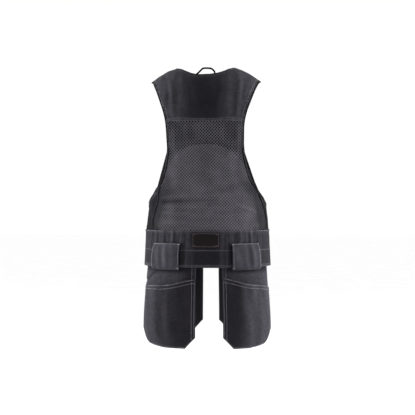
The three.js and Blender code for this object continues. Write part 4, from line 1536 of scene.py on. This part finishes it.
@dataclass
class FrontPanel:
    """The front panel on one side of the zip.

    Attributes:
        side: the wearer's side.
        flat: width and length of the cut; not used.
        area: flat area of the cut, in square metres; not used.
    """

    side: Side
    flat: tuple[float, float] = (0.20, 0.61)
    area: float = 0.075

    def build(self, wardrobe: Wardrobe) -> None:
        """Makes the panel and the stitches of its edges."""
        neck = line_through(inset(neck_edge()[0], -1, TUCKED), 1, 0)
        hole = ARMHOLES[self.side]
        zip_edge = lambda run: 180 - FORM.angle_at_reach(ZIP_HALF_GAP, np.minimum(run, -CROWN_HEIGHT))
        bottom_of_neck = float(FORM.ridge_run(180)) - FRONT_NECK_DROP
        inner = lambda run: np.minimum(zip_edge(run), neck(np.maximum(run, bottom_of_neck)))
        outer = lambda run: np.where(
            run < hole.bottom, FRONT_SEAM_ANGLE, np.maximum(FRONT_SEAM_ANGLE, hole.front(run))
        )
        if self.side is Side.LEFT:
            edges = (outer, inner)
        else:
            edges = (lambda run: -inner(run), lambda run: -outer(run))
        top = lambda angle: FORM.ridge_run(angle) - RIDGE_GAP
        outline = Outline(*edges, level(BAND_TOP - BEHIND_BAND), top)
        sheet = Sheet.on_body(outline, 50, 130)
        name = self.side.name.lower()
        piece = sheet.build(f"front_panel_{name}_cloth", CLOTH)
        dress(piece, wardrobe.canvas, [f"front_panel_{name}"])
        thread = Stitches(f"front_seam_{name}_stitches", pale=False)
        seam_side = 1.0 if self.side is Side.LEFT else 0.0
        away = -1.0 if seam_side else 1.0
        low = np.linspace(0.01, 0.13, 40)
        for gap in (0.02, 0.05):
            thread.line(*sheet.at(np.full(40, seam_side + away * gap), low, CLOTH / 2 + 0.1))
        top = np.linspace(0.02, 0.98, 60)
        thread.line(*sheet.at(top, np.full(60, 0.985), CLOTH / 2 + 0.1))
        stitches = thread.build(wardrobe, Slot.CANVAS)


@dataclass
class HemBand:
    """The deep band round the hem: a back piece and two front pieces.

    Attributes:
        back_flat: width and height of the back piece; not used.
        front_flat: width and height of a front piece; not used.
    """

    back_flat: tuple[float, float] = (0.56, 0.12)
    front_flat: tuple[float, float] = (0.29, 0.12)

    def build(self, wardrobe: Wardrobe) -> None:
        """Makes the three pieces with their stitched lines."""
        centre = lambda run: 180 - FORM.angle_at_reach(ZIP_HALF_GAP, run)
        pieces = (
            ("back", level(-SIDE_SEAM_ANGLE), level(SIDE_SEAM_ANGLE), 190, self.back_flat),
            ("left", level(SIDE_SEAM_ANGLE + 0.1), centre, 90, self.front_flat),
            ("right", lambda run: -centre(run), level(-SIDE_SEAM_ANGLE - 0.1), 90, self.front_flat),
        )
        for name, lesser, greater, columns, flat in pieces:
            outline = Outline(lesser, greater, level(-BODY_LENGTH), level(BAND_TOP + LAP))
            self._piece(name, outline, columns, wardrobe)

    def _piece(
        self, name: str, outline: Outline, columns: int, wardrobe: Wardrobe
    ) -> None:
        """Makes one piece of the band.

        Args:
            name: back, left or right.
            outline: its edges.
            columns: how many columns its grid has.
            wardrobe: the finishes.
        """

        def lift(u: Array, v: Array, angle: Array, run: Array) -> Array:
            """The lap over what is above the band, and the gathers that its upper seam pulls."""
            lap = 1.7 * smooth_step(run, BAND_TOP - 4, BAND_TOP + 2)
            near = np.exp(-(((run - BAND_TOP) / 16) ** 2))
            gathers = np.maximum(np.sin(angle * 0.9 + 0.6) + 0.6 * np.sin(angle * 1.7), 0)
            return lap + (0.55 * near + 0.2) * gathers

        sheet = Sheet.on_body(outline, columns, 40, lift)
        height = BAND_HEIGHT + LAP
        run = -BODY_LENGTH + sheet.v[None, :] * height
        line = np.exp(-(((run + 620) / 2.2) ** 2)) + np.exp(-(((run - BAND_TOP + 1) / 3.0) ** 2))
        angle, _ = outline.places(sheet.u, sheet.v)
        # Painted light and shade of the gathers: paler on their crests and darker between them, from the
        # upper seam to the hem, away from the centre back; the stitch lines are paler with real wear.
        painted_gather_light = 0.72 + 0.28 * np.sin(angle * 1.25 + 0.6 + 0.006 * run)
        painted_gather_light = painted_gather_light + 0.2 * np.sin(angle * 2.3 + 0.01 * run)
        wear = 0.4 * line + 0.75 * smooth_step(np.abs(angle), 6, 13) * painted_gather_light
        # Painted shadow: the band is drawn dark under the belt loops and a little beside them, and less pale
        # towards its sides as painted shade.
        reach = np.abs(sheet.points[:, :, 0])
        wear = wear * (1 - 0.65 * smooth_step(np.abs(angle), 36, 64))
        painted_loop_shadow = smooth_step(reach, 69, 74) * smooth_step(-reach, -172, -164) * smooth_step(-run, 592, 598)
        wear = wear * (1 - 0.9 * painted_loop_shadow * (np.abs(angle) < 90))
        piece = sheet.build(f"hem_band_{name}_cloth", BAND_CLOTH, wear, edge=0.6)
        node = "hem_band_back" if name == "back" else f"hem_band_{name}"
        dress(piece, wardrobe.canvas, [node])
        thread = Stitches(f"hem_band_{name}_stitches", pale=False)
        for rise in (3.5, 8.0, 56.0, height - 2.5):
            along = np.linspace(0.008, 0.992, 300)
            thread.line(*sheet.at(along, np.full(300, rise / height), BAND_CLOTH / 2 + 0.1))
        sewn = [thread.build(wardrobe, Slot.CANVAS)]
        if name == "back":
            # The holsters' seams are closed off at the hem with pale bar tacks.
            tacks = Stitches("hem_band_back_tacks", pale=True, width=0.8)
            along = np.array([0.5 - 62 / 450, 0.5 + 62 / 450])
            spots, normals = sheet.at(along, np.full(2, 3.0 / height), BAND_CLOTH / 2 + 0.2)
            for spot, normal in zip(spots, normals):
                tacks.tack(spot, normal, np.array([1.0, 0, 0]), 15.0, 2.0)
            sewn.append(tacks.build(wardrobe, Slot.CANVAS))


@dataclass
class BandPatch:
    """The bare patch at the centre of the band, with its border stitches and bar tacks.

    Attributes:
        width: across.
        height: down.
        below: from the band's top seam to the patch's top edge.
        border: from its edge to its stitches.
    """

    width: float = 88.0
    height: float = 48.0
    below: float = 2.4
    border: float = 3.0

    def build(self, wardrobe: Wardrobe) -> None:
        """Makes the patch."""
        edge = lambda run: FORM.angle_at_reach(self.width / 2, run)
        top = BAND_TOP - self.below
        outline = Outline(lambda run: -edge(run), edge, level(top - self.height), level(top))
        sheet = Sheet.on_body(outline, 60, 34, BAND_CLOTH / 2 + 0.75)
        piece = sheet.build("band_patch_cloth", 0.9, edge=0.6)
        dress(piece, wardrobe.patch, ["band_patch"])
        thread = Stitches("band_patch_stitches", pale=False, pitch=3.2, width=0.7)
        u, v = self.border / self.width, self.border / self.height
        loop = np.array([(u, v), (1 - u, v), (1 - u, 1 - v), (u, 1 - v), (u, v)])
        for a, b in zip(loop[:-1], loop[1:]):
            way = a + (b - a) * np.linspace(0, 1, 50)[:, None]
            thread.line(*sheet.at(*way.T, 0.55))
        stitches = thread.build(wardrobe, Slot.PATCH)
        tacks = Stitches("band_patch_tacks", pale=False, width=0.9)
        tacks.colour = wardrobe.red_thread
        for u, v in ((0.1, 0.88), (0.9, 0.88), (0.1, 0.12), (0.9, 0.12)):
            spot, normal = sheet.at(np.array([u]), np.array([v]), 0.7)
            tacks.tack(spot[0], normal[0], np.array([1.0, 0, 0]), 9.0, 1.8)
        sewn = tacks.build(wardrobe, Slot.PATCH)


@dataclass
class BeltLoop:
    """A wide belt loop on the back of the band, sewn along its top and standing off for a belt.

    Attributes:
        side: the wearer's side.
        inner: from the centre of the back to its inner edge.
        outer: to its outer edge.
        height: from its top to its bottom.
        below: how far it hangs below the hem.
        standoff: the room for a belt.
        thick: of its folded cloth.
    """

    side: Side
    inner: float = 84.0
    outer: float = 169.0
    height: float = 86.0
    below: float = 7.0
    standoff: float = 11.0
    thick: float = 2.0

    def build(self, wardrobe: Wardrobe) -> None:
        """Makes the loop with its stitched edges and bar tacks."""
        top = self.height - self.below - BODY_LENGTH
        near, far = (float(FORM.angle_at_reach(r, top)) for r in (self.inner, self.outer))
        sign = self.side.value
        lesser, greater = sorted((sign * near, sign * far))
        seat = BAND_CLOTH / 2 + 2.1 + self.thick / 2
        out = self.standoff + 1.0
        # How far the loop stands off at shares of its height, from its turned bottom edge up.
        shares = (0, 0.03, 0.12, 0.3, 0.62, 0.86, 0.95, 1)
        profile = smooth_through(shares, (0, 0.5, 0.9, 1, 0.96, 0.55, 0.14, 0))

        def lift(u: Array, v: Array, angle: Array, run: Array) -> Array:
            """The belt tunnel, with the loop's own upright folds."""
            share = profile(v)
            folds = 1.5 * np.sin(u * 9.4 + 0.8 + 0.9 * v) + 1.0 * np.sin(u * 21 + 2.0 * v + sign)
            slack = np.sin(np.pi * np.clip(v, 0, 1)) * folds
            side_pull = -1.6 * np.exp(-np.minimum(u, 1 - u) / 0.05) * share
            return seat + out * share + slack + side_pull

        outline = Outline(level(lesser), level(greater), level(-BODY_LENGTH - self.below), level(top))
        sheet = Sheet.on_body(outline, 44, 48, lift, off_body)
        near_edge = np.minimum(sheet.from_side, np.minimum(sheet.from_bottom, sheet.from_top))
        hems = 0.62 + 0.38 * (near_edge < 9)
        # Painted light and shade: the loop is drawn paler across its middle and darker at its sides, with
        # upright bands of painted fold shading.
        streaks = 0.55 + 0.45 * np.sin(sheet.across * 0.27 + 0.8 + 0.02 * sheet.up)
        painted_light_tone = 0.06 + 0.3 * np.sin(np.pi * sheet.u)[:, None] * streaks
        name = self.side.name.lower()
        piece = sheet.build(f"belt_loop_{name}_cloth", self.thick * 1.15, painted_light_tone, hems, edge=0.3)
        dress(piece, wardrobe.duck_rubbed, [f"belt_loop_{name}"])
        thread = Stitches(f"belt_loop_{name}_stitches", pale=True, width=0.75)
        width = float(sheet.across[0, -1] - sheet.across[-1, -1])
        width = abs(width)
        up = np.linspace(0.03, 0.97, 70)
        off = self.thick / 2 + 0.15
        for u in (3.0 / width, 1 - 3.0 / width):
            thread.line(*sheet.at(np.full(70, u), up, off), pitch=6.0)
        thread.line(*sheet.at(np.linspace(0.03, 0.97, 70), np.full(70, 0.965), off), pitch=5.0)
        inner = 1 - 3.0 / width if self.side is Side.LEFT else 3.0 / width
        for u, v in ((1 - inner, 0.96), (inner, 0.95), (inner, 0.07)):
            spot, normal = sheet.at(np.array([u]), np.array([v]), off + 0.2)
            thread.tack(spot[0], normal[0], np.array([1.0, 0, 0]), 6.0, 2.2)
        stitches = thread.build(wardrobe, Slot.CANVAS)


@dataclass
class Holster:
    """A hanging holster: a backing sewn inside the band and a pouch with an open mouth on it.

    Attributes:
        name: back or front, and the wearer's side.
        start: the lesser angle.
        end: the greater angle.
        length: its length below the hem, as a share of the deepest one's.
        near: how far the mouth hangs below the hem at its end nearer the centre, as a share.
        middle: the same at its middle.
        far: the same at its end nearer the wearer's side.
        drop: from the hem to the deepest holster's bottom.
        chamfer: height of the cut corner nearer the centre.
        side_chamfer: height of the one nearer the side.
        bulge: how far the pouch stands off.
    """

    name: str
    start: float
    end: float
    length: float
    near: float
    middle: float
    far: float
    drop: float = 263.0
    chamfer: float = 36.0
    side_chamfer: float = 48.0
    bulge: float = 17.0
    tuck: float = 20.0

    def _shape(self) -> tuple[bool, float, tuple[float, float], tuple[float, float]]:
        """Which end is nearer the side, the lowest run, and the chamfers' heights and breadths in degrees."""
        to_side = (abs(self.end) < 90) == (self.end > 0)
        lowest = -BODY_LENGTH - self.drop * self.length
        heights = (self.chamfer, self.side_chamfer) if to_side else (self.side_chamfer, self.chamfer)
        cuts = []
        for angle, height in zip((self.start, self.end), heights):
            step = FORM.bare(angle + SLOPE_STEP, lowest) - FORM.bare(angle - SLOPE_STEP, lowest)
            cuts.append(height / (float(np.linalg.norm(step)) / (2 * SLOPE_STEP)))
        return to_side, lowest, heights, (cuts[0], cuts[1])

    def build(self, wardrobe: Wardrobe) -> None:
        """Makes the backing and the pouch with their seams."""
        to_side, lowest, heights, cuts = self._shape()
        mouth = smooth_through((0, 0.5, 1), (self.near, self.middle, self.far))

        def bottom(angle: Array) -> Array:
            """The bottom edge: a cut corner nearer the centre, and a rounded one nearer the side."""
            ends = ((angle - self.start, 0), (self.end - angle, 1))
            rise = np.zeros(np.shape(angle))
            rounded = ((0, 0.2, 0.45, 0.72, 1.2, 1.8), (1.18, 0.82, 0.42, 0.2, 0.09, 0))
            for away, i in ends:
                share = away / cuts[i]
                if heights[i] == self.side_chamfer:
                    rise += np.interp(share, *rounded) * heights[i]
                else:
                    rise += heights[i] * np.maximum(1 - share, 0)
            return lowest + rise

        def mouth_run(angle: Array) -> Array:
            """The mouth's edge, with the small waves of its hem."""
            share = np.clip((angle - self.start) / (self.end - self.start), 0, 1)
            out = share if to_side else 1 - share
            return -BODY_LENGTH - self.drop * mouth(out) + 1.3 * np.sin(out * 11 + 0.5)

        span = self.end - self.start
        a, b = cuts[1] / span, cuts[0] / span
        # The columns lie closer together at the cut corners.
        parts = (np.linspace(0, a, 9)[:-1], np.linspace(a, 1 - b, 47)[:-1], np.linspace(1 - b, 1, 9))
        u = np.concatenate(parts)
        out_sign = 1.0 if to_side else -1.0

        def creased(angle: Array, run: Array) -> Array:
            """The slanting crease that pulls one backing up towards its belt loop, from 0 to 1."""
            across_crease = run + BODY_LENGTH + 50 - 1.8 * (self.end - angle)
            return np.exp(-((across_crease / 6.5) ** 2)) * (self.name == "back_left")

        def back_lift(uu: Array, vv: Array, angle: Array, run: Array) -> Array:
            """The backing hangs nearly flat, with slow waves below the band."""
            free = smooth_step(-run, BODY_LENGTH, BODY_LENGTH + 60)
            waves = 1.1 * np.sin(uu * 7.5 + 0.6 + vv * 2) + 0.8 * np.sin(uu * 15 - vv * 6)
            slack = 0.7 * waves * (1 - 0.8 * np.exp(-vv / 0.2)) - 3.2 * creased(angle, run)
            return -BAND_CLOTH / 2 - 0.9 - CLOTH / 2 + free * slack

        edges = (level(self.start), level(self.end))
        backing_cut = Outline(*edges, bottom, level(self.tuck - BODY_LENGTH))
        backing_sheet = Sheet.on_body(backing_cut, u, 70, back_lift, off_body)
        front = self.name.startswith("front")
        aside = np.abs(backing_sheet.points[:, :, 0])
        angle, run = backing_cut.places(backing_sheet.u, backing_sheet.v)
        # Painted shadow: the backing is drawn darker just below the hem and the belt loop, towards the centre
        # and along its crease.
        rub_and_painted_light = 0.8 * smooth_step(aside, 40, 100) * smooth_step(-run, BODY_LENGTH + 6, BODY_LENGTH + 26)
        painted_light_tone = np.zeros(aside.shape) if front else rub_and_painted_light * (1 - 0.8 * creased(angle, run))
        backing = backing_sheet.build(f"holster_backing_{self.name}_cloth", CLOTH, painted_light_tone)
        cloth = wardrobe.duck_dark if front else wardrobe.canvas
        dress(backing, cloth, [f"holster_backing_{self.name}"])
        seat = -BAND_CLOTH / 2 - 0.9 + 0.5 + CLOTH / 2

        def bulge(uu: Array, vv: Array, angle: Array, run: Array) -> Array:
            """The pouch's fullness, its upright folds and the slack at its mouth."""
            wide = 1 - np.abs(2 * uu - 1) ** 2.6
            tall = np.sin(np.pi / 2 * np.minimum(vv / 0.45, 1)) * (1 - 0.12 * vv)
            folds = 2.6 * np.exp(-(((uu - 0.42) / 0.07) ** 2)) - 2.8 * np.exp(-(((uu - 0.56) / 0.06) ** 2))
            folds += 1.6 * np.exp(-(((uu - 0.76) / 0.06) ** 2)) - 1.2 * np.exp(-(((uu - 0.24) / 0.05) ** 2))
            ripples = 0.9 * np.sin(uu * 19 + 4 * vv) * np.sin(np.pi * np.clip(vv, 0, 1))
            return seat + self.bulge * wide * tall + wide * tall * (folds * (0.35 + 0.65 * vv) + ripples)

        pouch_sheet = Sheet.on_body(Outline(*edges, bottom, mouth_run), u, 60, bulge, off_body)
        hems = 0.5 + 0.5 * smooth_step(-pouch_sheet.from_top, -14.5, -13.0)
        # Painted light: the back pouches are drawn paler towards the wearer's sides, where the side lights
        # fall, in faint streaks.
        reach = np.abs(pouch_sheet.points[:, :, 0])
        if front:
            faded_and_painted_light = np.zeros(reach.shape)
        elif self.name.endswith("left"):
            faded_and_painted_light = 0.12 + 0.6 * smooth_step(reach, 80, 190)
        else:
            faded_and_painted_light = 0.12 + 0.9 * smooth_step(reach, 104, 136)
        streaks = 0.82 + 0.18 * np.sin(pouch_sheet.across * 0.14 + pouch_sheet.up * 0.02)
        pouch = pouch_sheet.build(f"holster_pouch_{self.name}_cloth", 2.4, faded_and_painted_light * streaks, hems, edge=0.45)
        dress(pouch, cloth, [f"holster_pouch_{self.name}"])
        thread = Stitches(f"holster_{self.name}_stitches", pale=not front, width=0.7)
        width = float(np.abs(pouch_sheet.across[0] - pouch_sheet.across[-1]).max())
        tall = float(pouch_sheet.up[len(u) // 2, -1])
        off = 1.0
        across = np.linspace(0.02, 0.98, 120)
        for gap in (3.0, 14.0):
            thread.line(*pouch_sheet.at(across, np.full(120, 1 - gap / tall), off + 0.35), pitch=5.0)
        up = np.linspace(0.03, 0.97, 80)
        near_u = 1.0 if (out_sign > 0) else 0.0
        step = -1.0 if near_u else 1.0
        for gap in (4.0, 11.5):
            thread.line(*pouch_sheet.at(np.full(80, near_u + step * gap / width), up, off), pitch=6.0)
        thread.line(*pouch_sheet.at(np.full(80, 1 - near_u - step * 4.0 / width), up, off))
        thread.line(*pouch_sheet.at(across, np.full(120, 4.0 / tall), off))
        over = float(backing_sheet.up[len(u) // 2, -1])
        high = np.linspace(1 - (self.tuck + 40) / over, 1 - (self.tuck + 4) / over, 12)
        beside = near_u + step * 12.0 / width
        thread.line(*backing_sheet.at(np.full(12, beside), high, CLOTH / 2 + 0.1), pitch=6.0)
        stitches = thread.build(wardrobe, Slot.CANVAS)


@dataclass
class EdgeBinding:
    """Folded tape round an edge, with one line of stitches.

    Attributes:
        width: of the folded tape.
        thick: over its fold.
    """

    width: float = BINDING_WIDTH
    thick: float = 3.0

    def section(self) -> Array:
        """The folded tape's section: full and round at its fold, thinner at its sewn edges."""
        half = self.thick / 2
        upper = [(0.0, 0.35), (0.5, 0.8), (1.5, 1.05), (3.4, 1.1), (6.0, 0.92), (8.2, 0.86)]
        top = [(a, n * half) for a, n in (*upper, (self.width, 0.72))]
        return np.array([*top, *[(a, -n) for a, n in reversed(top)]])

    def build(self, wardrobe: Wardrobe) -> None:
        """Makes both armhole bindings and the neck binding."""
        for side in Side:
            places = armhole_edge(side)[:-1]
            name = side.name.lower()
            self._edge(f"armhole_binding_{name}", places, side.value, True, wardrobe)
        self._edge("neck_binding", neck_edge()[2], -1, False, wardrobe)

    def _edge(self, node: str, places: Array, side: float, loops: bool, wardrobe: Wardrobe) -> None:
        """Makes one binding.

        Args:
            node: the CAD node that it stands for.
            places: the edge's places on the cloth.
            side: on which side of the way along them the cloth lies.
            loops: whether the edge closes on itself.
            wardrobe: the finishes.
        """
        points, inward, normal = frames_along(places, side, loops)
        piece = sweep(f"{node}_tape", points, inward, normal, self.section(), loops)
        dress(piece, wardrobe.tape, [node])
        thread = Stitches(f"{node}_stitches", pale=node.startswith("armhole"), pitch=5.5, width=0.5)
        for distance, lift in ((7.0, 1.45), (self.width + 3.0, CLOTH / 2 + 0.15)):
            path = points + inward * distance + normal * lift
            if loops:
                path, ups = np.vstack([path, path[:1]]), np.vstack([normal, normal[:1]])
            else:
                ups = normal
            thread.line(path, ups)
        thread.build(wardrobe, Slot.TAPE)


@dataclass
class FrontZip:
    """The front zip: two tapes, two rows of teeth and a slider with its pull.

    Attributes:
        reach: from the centre to a tape's sewn edge.
        pitch: from one tooth to the next on a side.
    """

    reach: float = 11.0
    pitch: float = 3.0

    def build(self, wardrobe: Wardrobe) -> None:
        """Makes the zip."""
        top = float(FORM.ridge_run(180)) - FRONT_NECK_DROP - BINDING_WIDTH / 2
        edge = lambda run: FORM.angle_at_reach(self.reach, np.minimum(run, -CROWN_HEIGHT))
        gap = lambda run: FORM.angle_at_reach(1.0, np.minimum(run, -CROWN_HEIGHT))
        halves = (
            ("left", lambda run: 180 - edge(run), lambda run: 180 - gap(run)),
            ("right", lambda run: 180 + gap(run), lambda run: 180 + edge(run)),
        )
        for name, lesser, greater in halves:
            outline = Outline(lesser, greater, level(-BODY_LENGTH + 1), level(top))
            sheet = Sheet.on_body(outline, 10, 120, 0.2)
            piece = sheet.build(f"zip_tape_{name}", 1.2)
            dress(piece, wardrobe.tape, ["front_zip"])
            thread = Stitches(f"zip_{name}_stitches", pale=False)
            seam = np.full(120, 0.35 if name == "left" else 0.65)
            thread.line(*sheet.at(seam, np.linspace(0.01, 0.99, 120), 0.75))
            stitches = thread.build(wardrobe, Slot.NYLON)
        self._teeth(top, wardrobe)
        self._slider(top, wardrobe)

    def _teeth(self, top: float, wardrobe: Wardrobe) -> None:
        """Makes the two rows of interlocked teeth from one modelled tooth.

        Args:
            top: the run of the zip's upper end.
            wardrobe: the finishes.
        """
        bpy.ops.object.select_all(action="DESELECT")
        bpy.ops.mesh.primitive_cube_add(size=1, location=(0, 0, 0))
        tooth = bpy.context.object
        bevel = tooth.modifiers.new("round", "BEVEL")
        bevel.width, bevel.segments = 0.18, 1
        bake_modifiers(tooth)
        model = np.array([v.co for v in tooth.data.vertices])
        faces = [tuple(p.vertices) for p in tooth.data.polygons]
        bpy.data.objects.remove(tooth)
        runs = np.arange(-BODY_LENGTH + 4, top - 3, self.pitch)
        runs = np.concatenate([runs, runs + self.pitch / 2])
        side = np.concatenate([np.ones(len(runs) // 2), -np.ones(len(runs) // 2)])
        centre = FORM.cloth(np.full(len(runs), 180.0), runs, 1.1)
        normal = FORM.normals(np.full(len(runs), 180.0), runs)
        up = unit(np.cross(normal, np.tile([1.0, 0, 0], (len(runs), 1))))
        right = np.cross(up, normal)
        centre = centre + right * (side * 0.9)[:, None]
        points = (
            centre[:, None]
            + model[None, :, 0:1] * (right * 3.4)[:, None]
            + model[None, :, 1:2] * (normal * 2.0)[:, None]
            + model[None, :, 2:3] * (up * 1.25)[:, None]
        ).reshape(-1, 3)
        many = [tuple(k + n * len(model) for k in f) for n in range(len(runs)) for f in faces]
        piece = solid_mesh("zip_teeth", points, many)
        only(piece)
        bpy.ops.object.mode_set(mode="EDIT")
        bpy.ops.mesh.select_all(action="SELECT")
        bpy.ops.mesh.normals_make_consistent(inside=False)
        bpy.ops.object.mode_set(mode="OBJECT")
        dress(piece, wardrobe.nylon, ["front_zip"])

    def _slider(self, top: float, wardrobe: Wardrobe) -> None:
        """Makes the slider's body and its hanging pull.

        Args:
            top: the run of the zip's upper end.
            wardrobe: the finishes.
        """
        spot = FORM.cloth(np.array([180.0]), np.array([top - 14]), 2.4)[0] * MM
        bpy.ops.object.select_all(action="DESELECT")
        bpy.ops.mesh.primitive_cube_add(size=1, location=spot)
        slider = bpy.context.object
        slider.name = "zip_slider"
        slider.scale = (0.009, 0.0042, 0.013)
        bpy.ops.object.transform_apply(location=True, rotation=True, scale=True)
        bpy.ops.object.mode_set(mode="EDIT")
        bpy.ops.mesh.select_all(action="DESELECT")
        bpy.ops.object.mode_set(mode="OBJECT")
        for face in slider.data.polygons:
            face.select = face.normal.z < -0.5
        bpy.ops.object.mode_set(mode="EDIT")
        bpy.ops.mesh.select_mode(type="FACE")
        low = spot + np.array([0, 0, -0.0065])
        bpy.ops.transform.resize(value=(0.62, 1, 1), center_override=tuple(low))
        bpy.ops.object.mode_set(mode="OBJECT")
        bevel = slider.modifiers.new("round", "BEVEL")
        bevel.width, bevel.segments = 0.0009, 3
        bake_modifiers(slider)
        bpy.ops.object.shade_smooth_by_angle(angle=math.radians(40))
        dress(slider, wardrobe.zinc, ["front_zip"])
        bpy.ops.object.select_all(action="DESELECT")
        bpy.ops.mesh.primitive_cylinder_add(vertices=24, radius=0.0035, depth=0.0012, location=(0, 0, 0))
        pull = bpy.context.object
        pull.name = "zip_pull"
        bpy.ops.object.mode_set(mode="EDIT")
        bpy.ops.mesh.select_all(action="SELECT")
        bpy.ops.transform.rotate(value=math.pi / 2, orient_axis="X", center_override=(0, 0, 0))
        bpy.ops.transform.resize(value=(0.8, 1, 3.1), center_override=(0, 0, 0))
        bpy.ops.object.mode_set(mode="OBJECT")
        pull.location = Vector(spot) + Vector((0, -0.0036, -0.0125))
        bpy.ops.object.transform_apply(location=True, rotation=True, scale=True)
        bevel = pull.modifiers.new("round", "BEVEL")
        bevel.width, bevel.segments, bevel.limit_method = 0.0004, 2, "ANGLE"
        bake_modifiers(pull)
        bpy.ops.object.shade_smooth_by_angle(angle=math.radians(40))
        dress(pull, wardrobe.zinc, ["front_zip"])


@dataclass
class HangerLoop:
    """The narrow tape loop inside the back neck.

    Attributes:
        width: of the tape.
        thick: of the tape.
        rise: of the loop above its feet.
        tuck: how far its ends are sewn down.
        left: reach of its left foot.
        right: reach of its right foot.
    """

    width: float = 6.0
    thick: float = 1.4
    rise: float = 23.0
    tuck: float = 9.0
    left: float = 29.0
    right: float = 31.0

    def build(self, wardrobe: Wardrobe) -> None:
        """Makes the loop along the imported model's path."""
        neck = line_through(neck_edge()[1], 0, 1)
        inside = -1.5 - 0.5 - 1.5 * self.thick

        def foot(reach: float, below: float) -> Array:
            """A point just inside the neck binding."""
            angle = np.array([float(FORM.angle_at_reach(reach, -CROWN_HEIGHT))])
            return off_body(angle, neck(angle) - below, np.full(1, inside))[0]

        base = foot(0, 0)
        depth = min(foot(self.left, 0)[1], foot(-self.right, 0)[1]) - self.thick
        loop = [
            (0.64 * self.left, 0.5),
            (0.25 * self.left, 0.95),
            (-0.15 * self.right, 1.0),
            (-0.7 * self.right, 0.9),
            (-1.04 * self.right, 0.4),
        ]
        free = [np.array([x + LEAN, depth, base[2] + self.rise * share]) for x, share in loop]
        start = (foot(self.left, self.tuck), foot(self.left, 0))
        end = (foot(-self.right, 0), foot(-self.right, self.tuck))
        path = catmull_rom(np.array([*start, *free, *end]), 8)
        tangent = unit(np.gradient(path, axis=0))
        width = unit(np.cross(np.array([0.0, 1.0, 0.0]), tangent))
        inward = np.cross(tangent, width)
        t, w = self.thick / 2, self.width / 2
        half = [(-t, -w + 0.5), (-t + 0.3, -w), (t - 0.3, -w), (t, -w + 0.5)]
        section = np.array([*half, *[(-a, -b) for a, b in half]])
        piece = sweep("hanger_loop_tape", path, inward, width, section, False)
        dress(piece, wardrobe.tape, ["hanger_loop"])


@dataclass
class Studio:
    """The camera at the photograph's viewing angle, the pale floor and the soft lights.

    Attributes:
        distance: from the camera to the origin's plane, in metres.
        turn: how far the camera stands to the wearer's right, in degrees.
        height: of the camera, in metres.
        lens: in millimetres, on a sensor 36 wide.
    """

    distance: float = 2.084
    turn: float = 2.5
    height: float = -0.480
    lens: float = 52.13

    def build(self) -> None:
        """Makes the camera, the floor, the world and the lights."""
        data = bpy.data.cameras.new("photo_camera")
        data.lens, data.sensor_width, data.sensor_fit = self.lens, 36.0, "HORIZONTAL"
        data.clip_end = 60
        camera = bpy.data.objects.new("photo_camera", data)
        bpy.context.scene.collection.objects.link(camera)
        turn = math.radians(self.turn)
        camera.location = (-self.distance * math.sin(turn), self.distance * math.cos(turn), self.height)
        way = Vector((0, 0, self.height)) - camera.location
        camera.rotation_euler = way.to_track_quat("-Z", "Y").to_euler()
        bpy.context.scene.camera = camera
        bpy.ops.object.select_all(action="DESELECT")
        bpy.ops.mesh.primitive_plane_add(size=40, location=(0, 0, 0))
        floor = bpy.context.object
        floor.name = "studio_floor"
        bpy.ops.object.mode_set(mode="EDIT")
        bpy.ops.mesh.select_all(action="SELECT")
        bpy.ops.transform.translate(value=(0, 0, -1.5))
        bpy.ops.object.mode_set(mode="OBJECT")
        floor.data.materials.append(PaintedGround("White_studio_paint", 0.9).build())
        world = bpy.data.worlds.new("studio_world")
        world.use_nodes = True
        world.node_tree.nodes["Background"].inputs["Color"].default_value = linear("#ffffff")
        world.node_tree.nodes["Background"].inputs["Strength"].default_value = 1.03
        bpy.context.scene.world = world
        bpy.context.scene.view_settings.view_transform = "Standard"
        self._light("left_window", (2.3, 0.0, -0.1), 1.3, 75)
        self._light("right_window", (-2.3, 0.0, -0.1), 1.3, 75)
        self._light("top_panel", (0.0, 0.5, 2.1), 1.5, 14)

    @staticmethod
    def _light(name: str, place: tuple[float, float, float], size: float, power: float) -> None:
        """Adds one square soft light that faces the middle of the vest.

        Args:
            name: the light's name.
            place: where it stands, in metres.
            size: its side, in metres.
            power: in watts.
        """
        data = bpy.data.lights.new(name, "AREA")
        data.energy, data.size, data.spread = power, size, math.radians(110)
        light = bpy.data.objects.new(name, data)
        bpy.context.scene.collection.objects.link(light)
        light.location = place
        light.rotation_euler = (Vector((0, 0, -0.45)) - light.location).to_track_quat("-Z", "Y").to_euler()


def main() -> None:
    """Builds the vest piece by piece."""
    logging.basicConfig(level=logging.INFO, format="%(name)s: %(message)s")
    Studio().build()
    wardrobe = Wardrobe()
    Yoke().build(wardrobe)
    MeshBack().build(wardrobe)
    for side in Side:
        SidePanel(side).build(wardrobe)
        FrontPanel(side).build(wardrobe)
    HemBand().build(wardrobe)
    BandPatch().build(wardrobe)
    for side in Side:
        BeltLoop(side).build(wardrobe)
    Holster("back_left", 6.4, 67, 1, 0.137, 0.217, 0.245).build(wardrobe)
    Holster("back_right", -68, -11.5, 1, 0.12, 0.205, 0.262).build(wardrobe)
    Holster("front_left", 111, 176, 0.965, 0.14, 0.21, 0.25).build(wardrobe)
    Holster("front_right", -173, -111, 0.965, 0.14, 0.21, 0.25).build(wardrobe)
    EdgeBinding().build(wardrobe)
    FrontZip().build(wardrobe)
    HangerLoop().build(wardrobe)


if __name__ == "__main__":
    main()
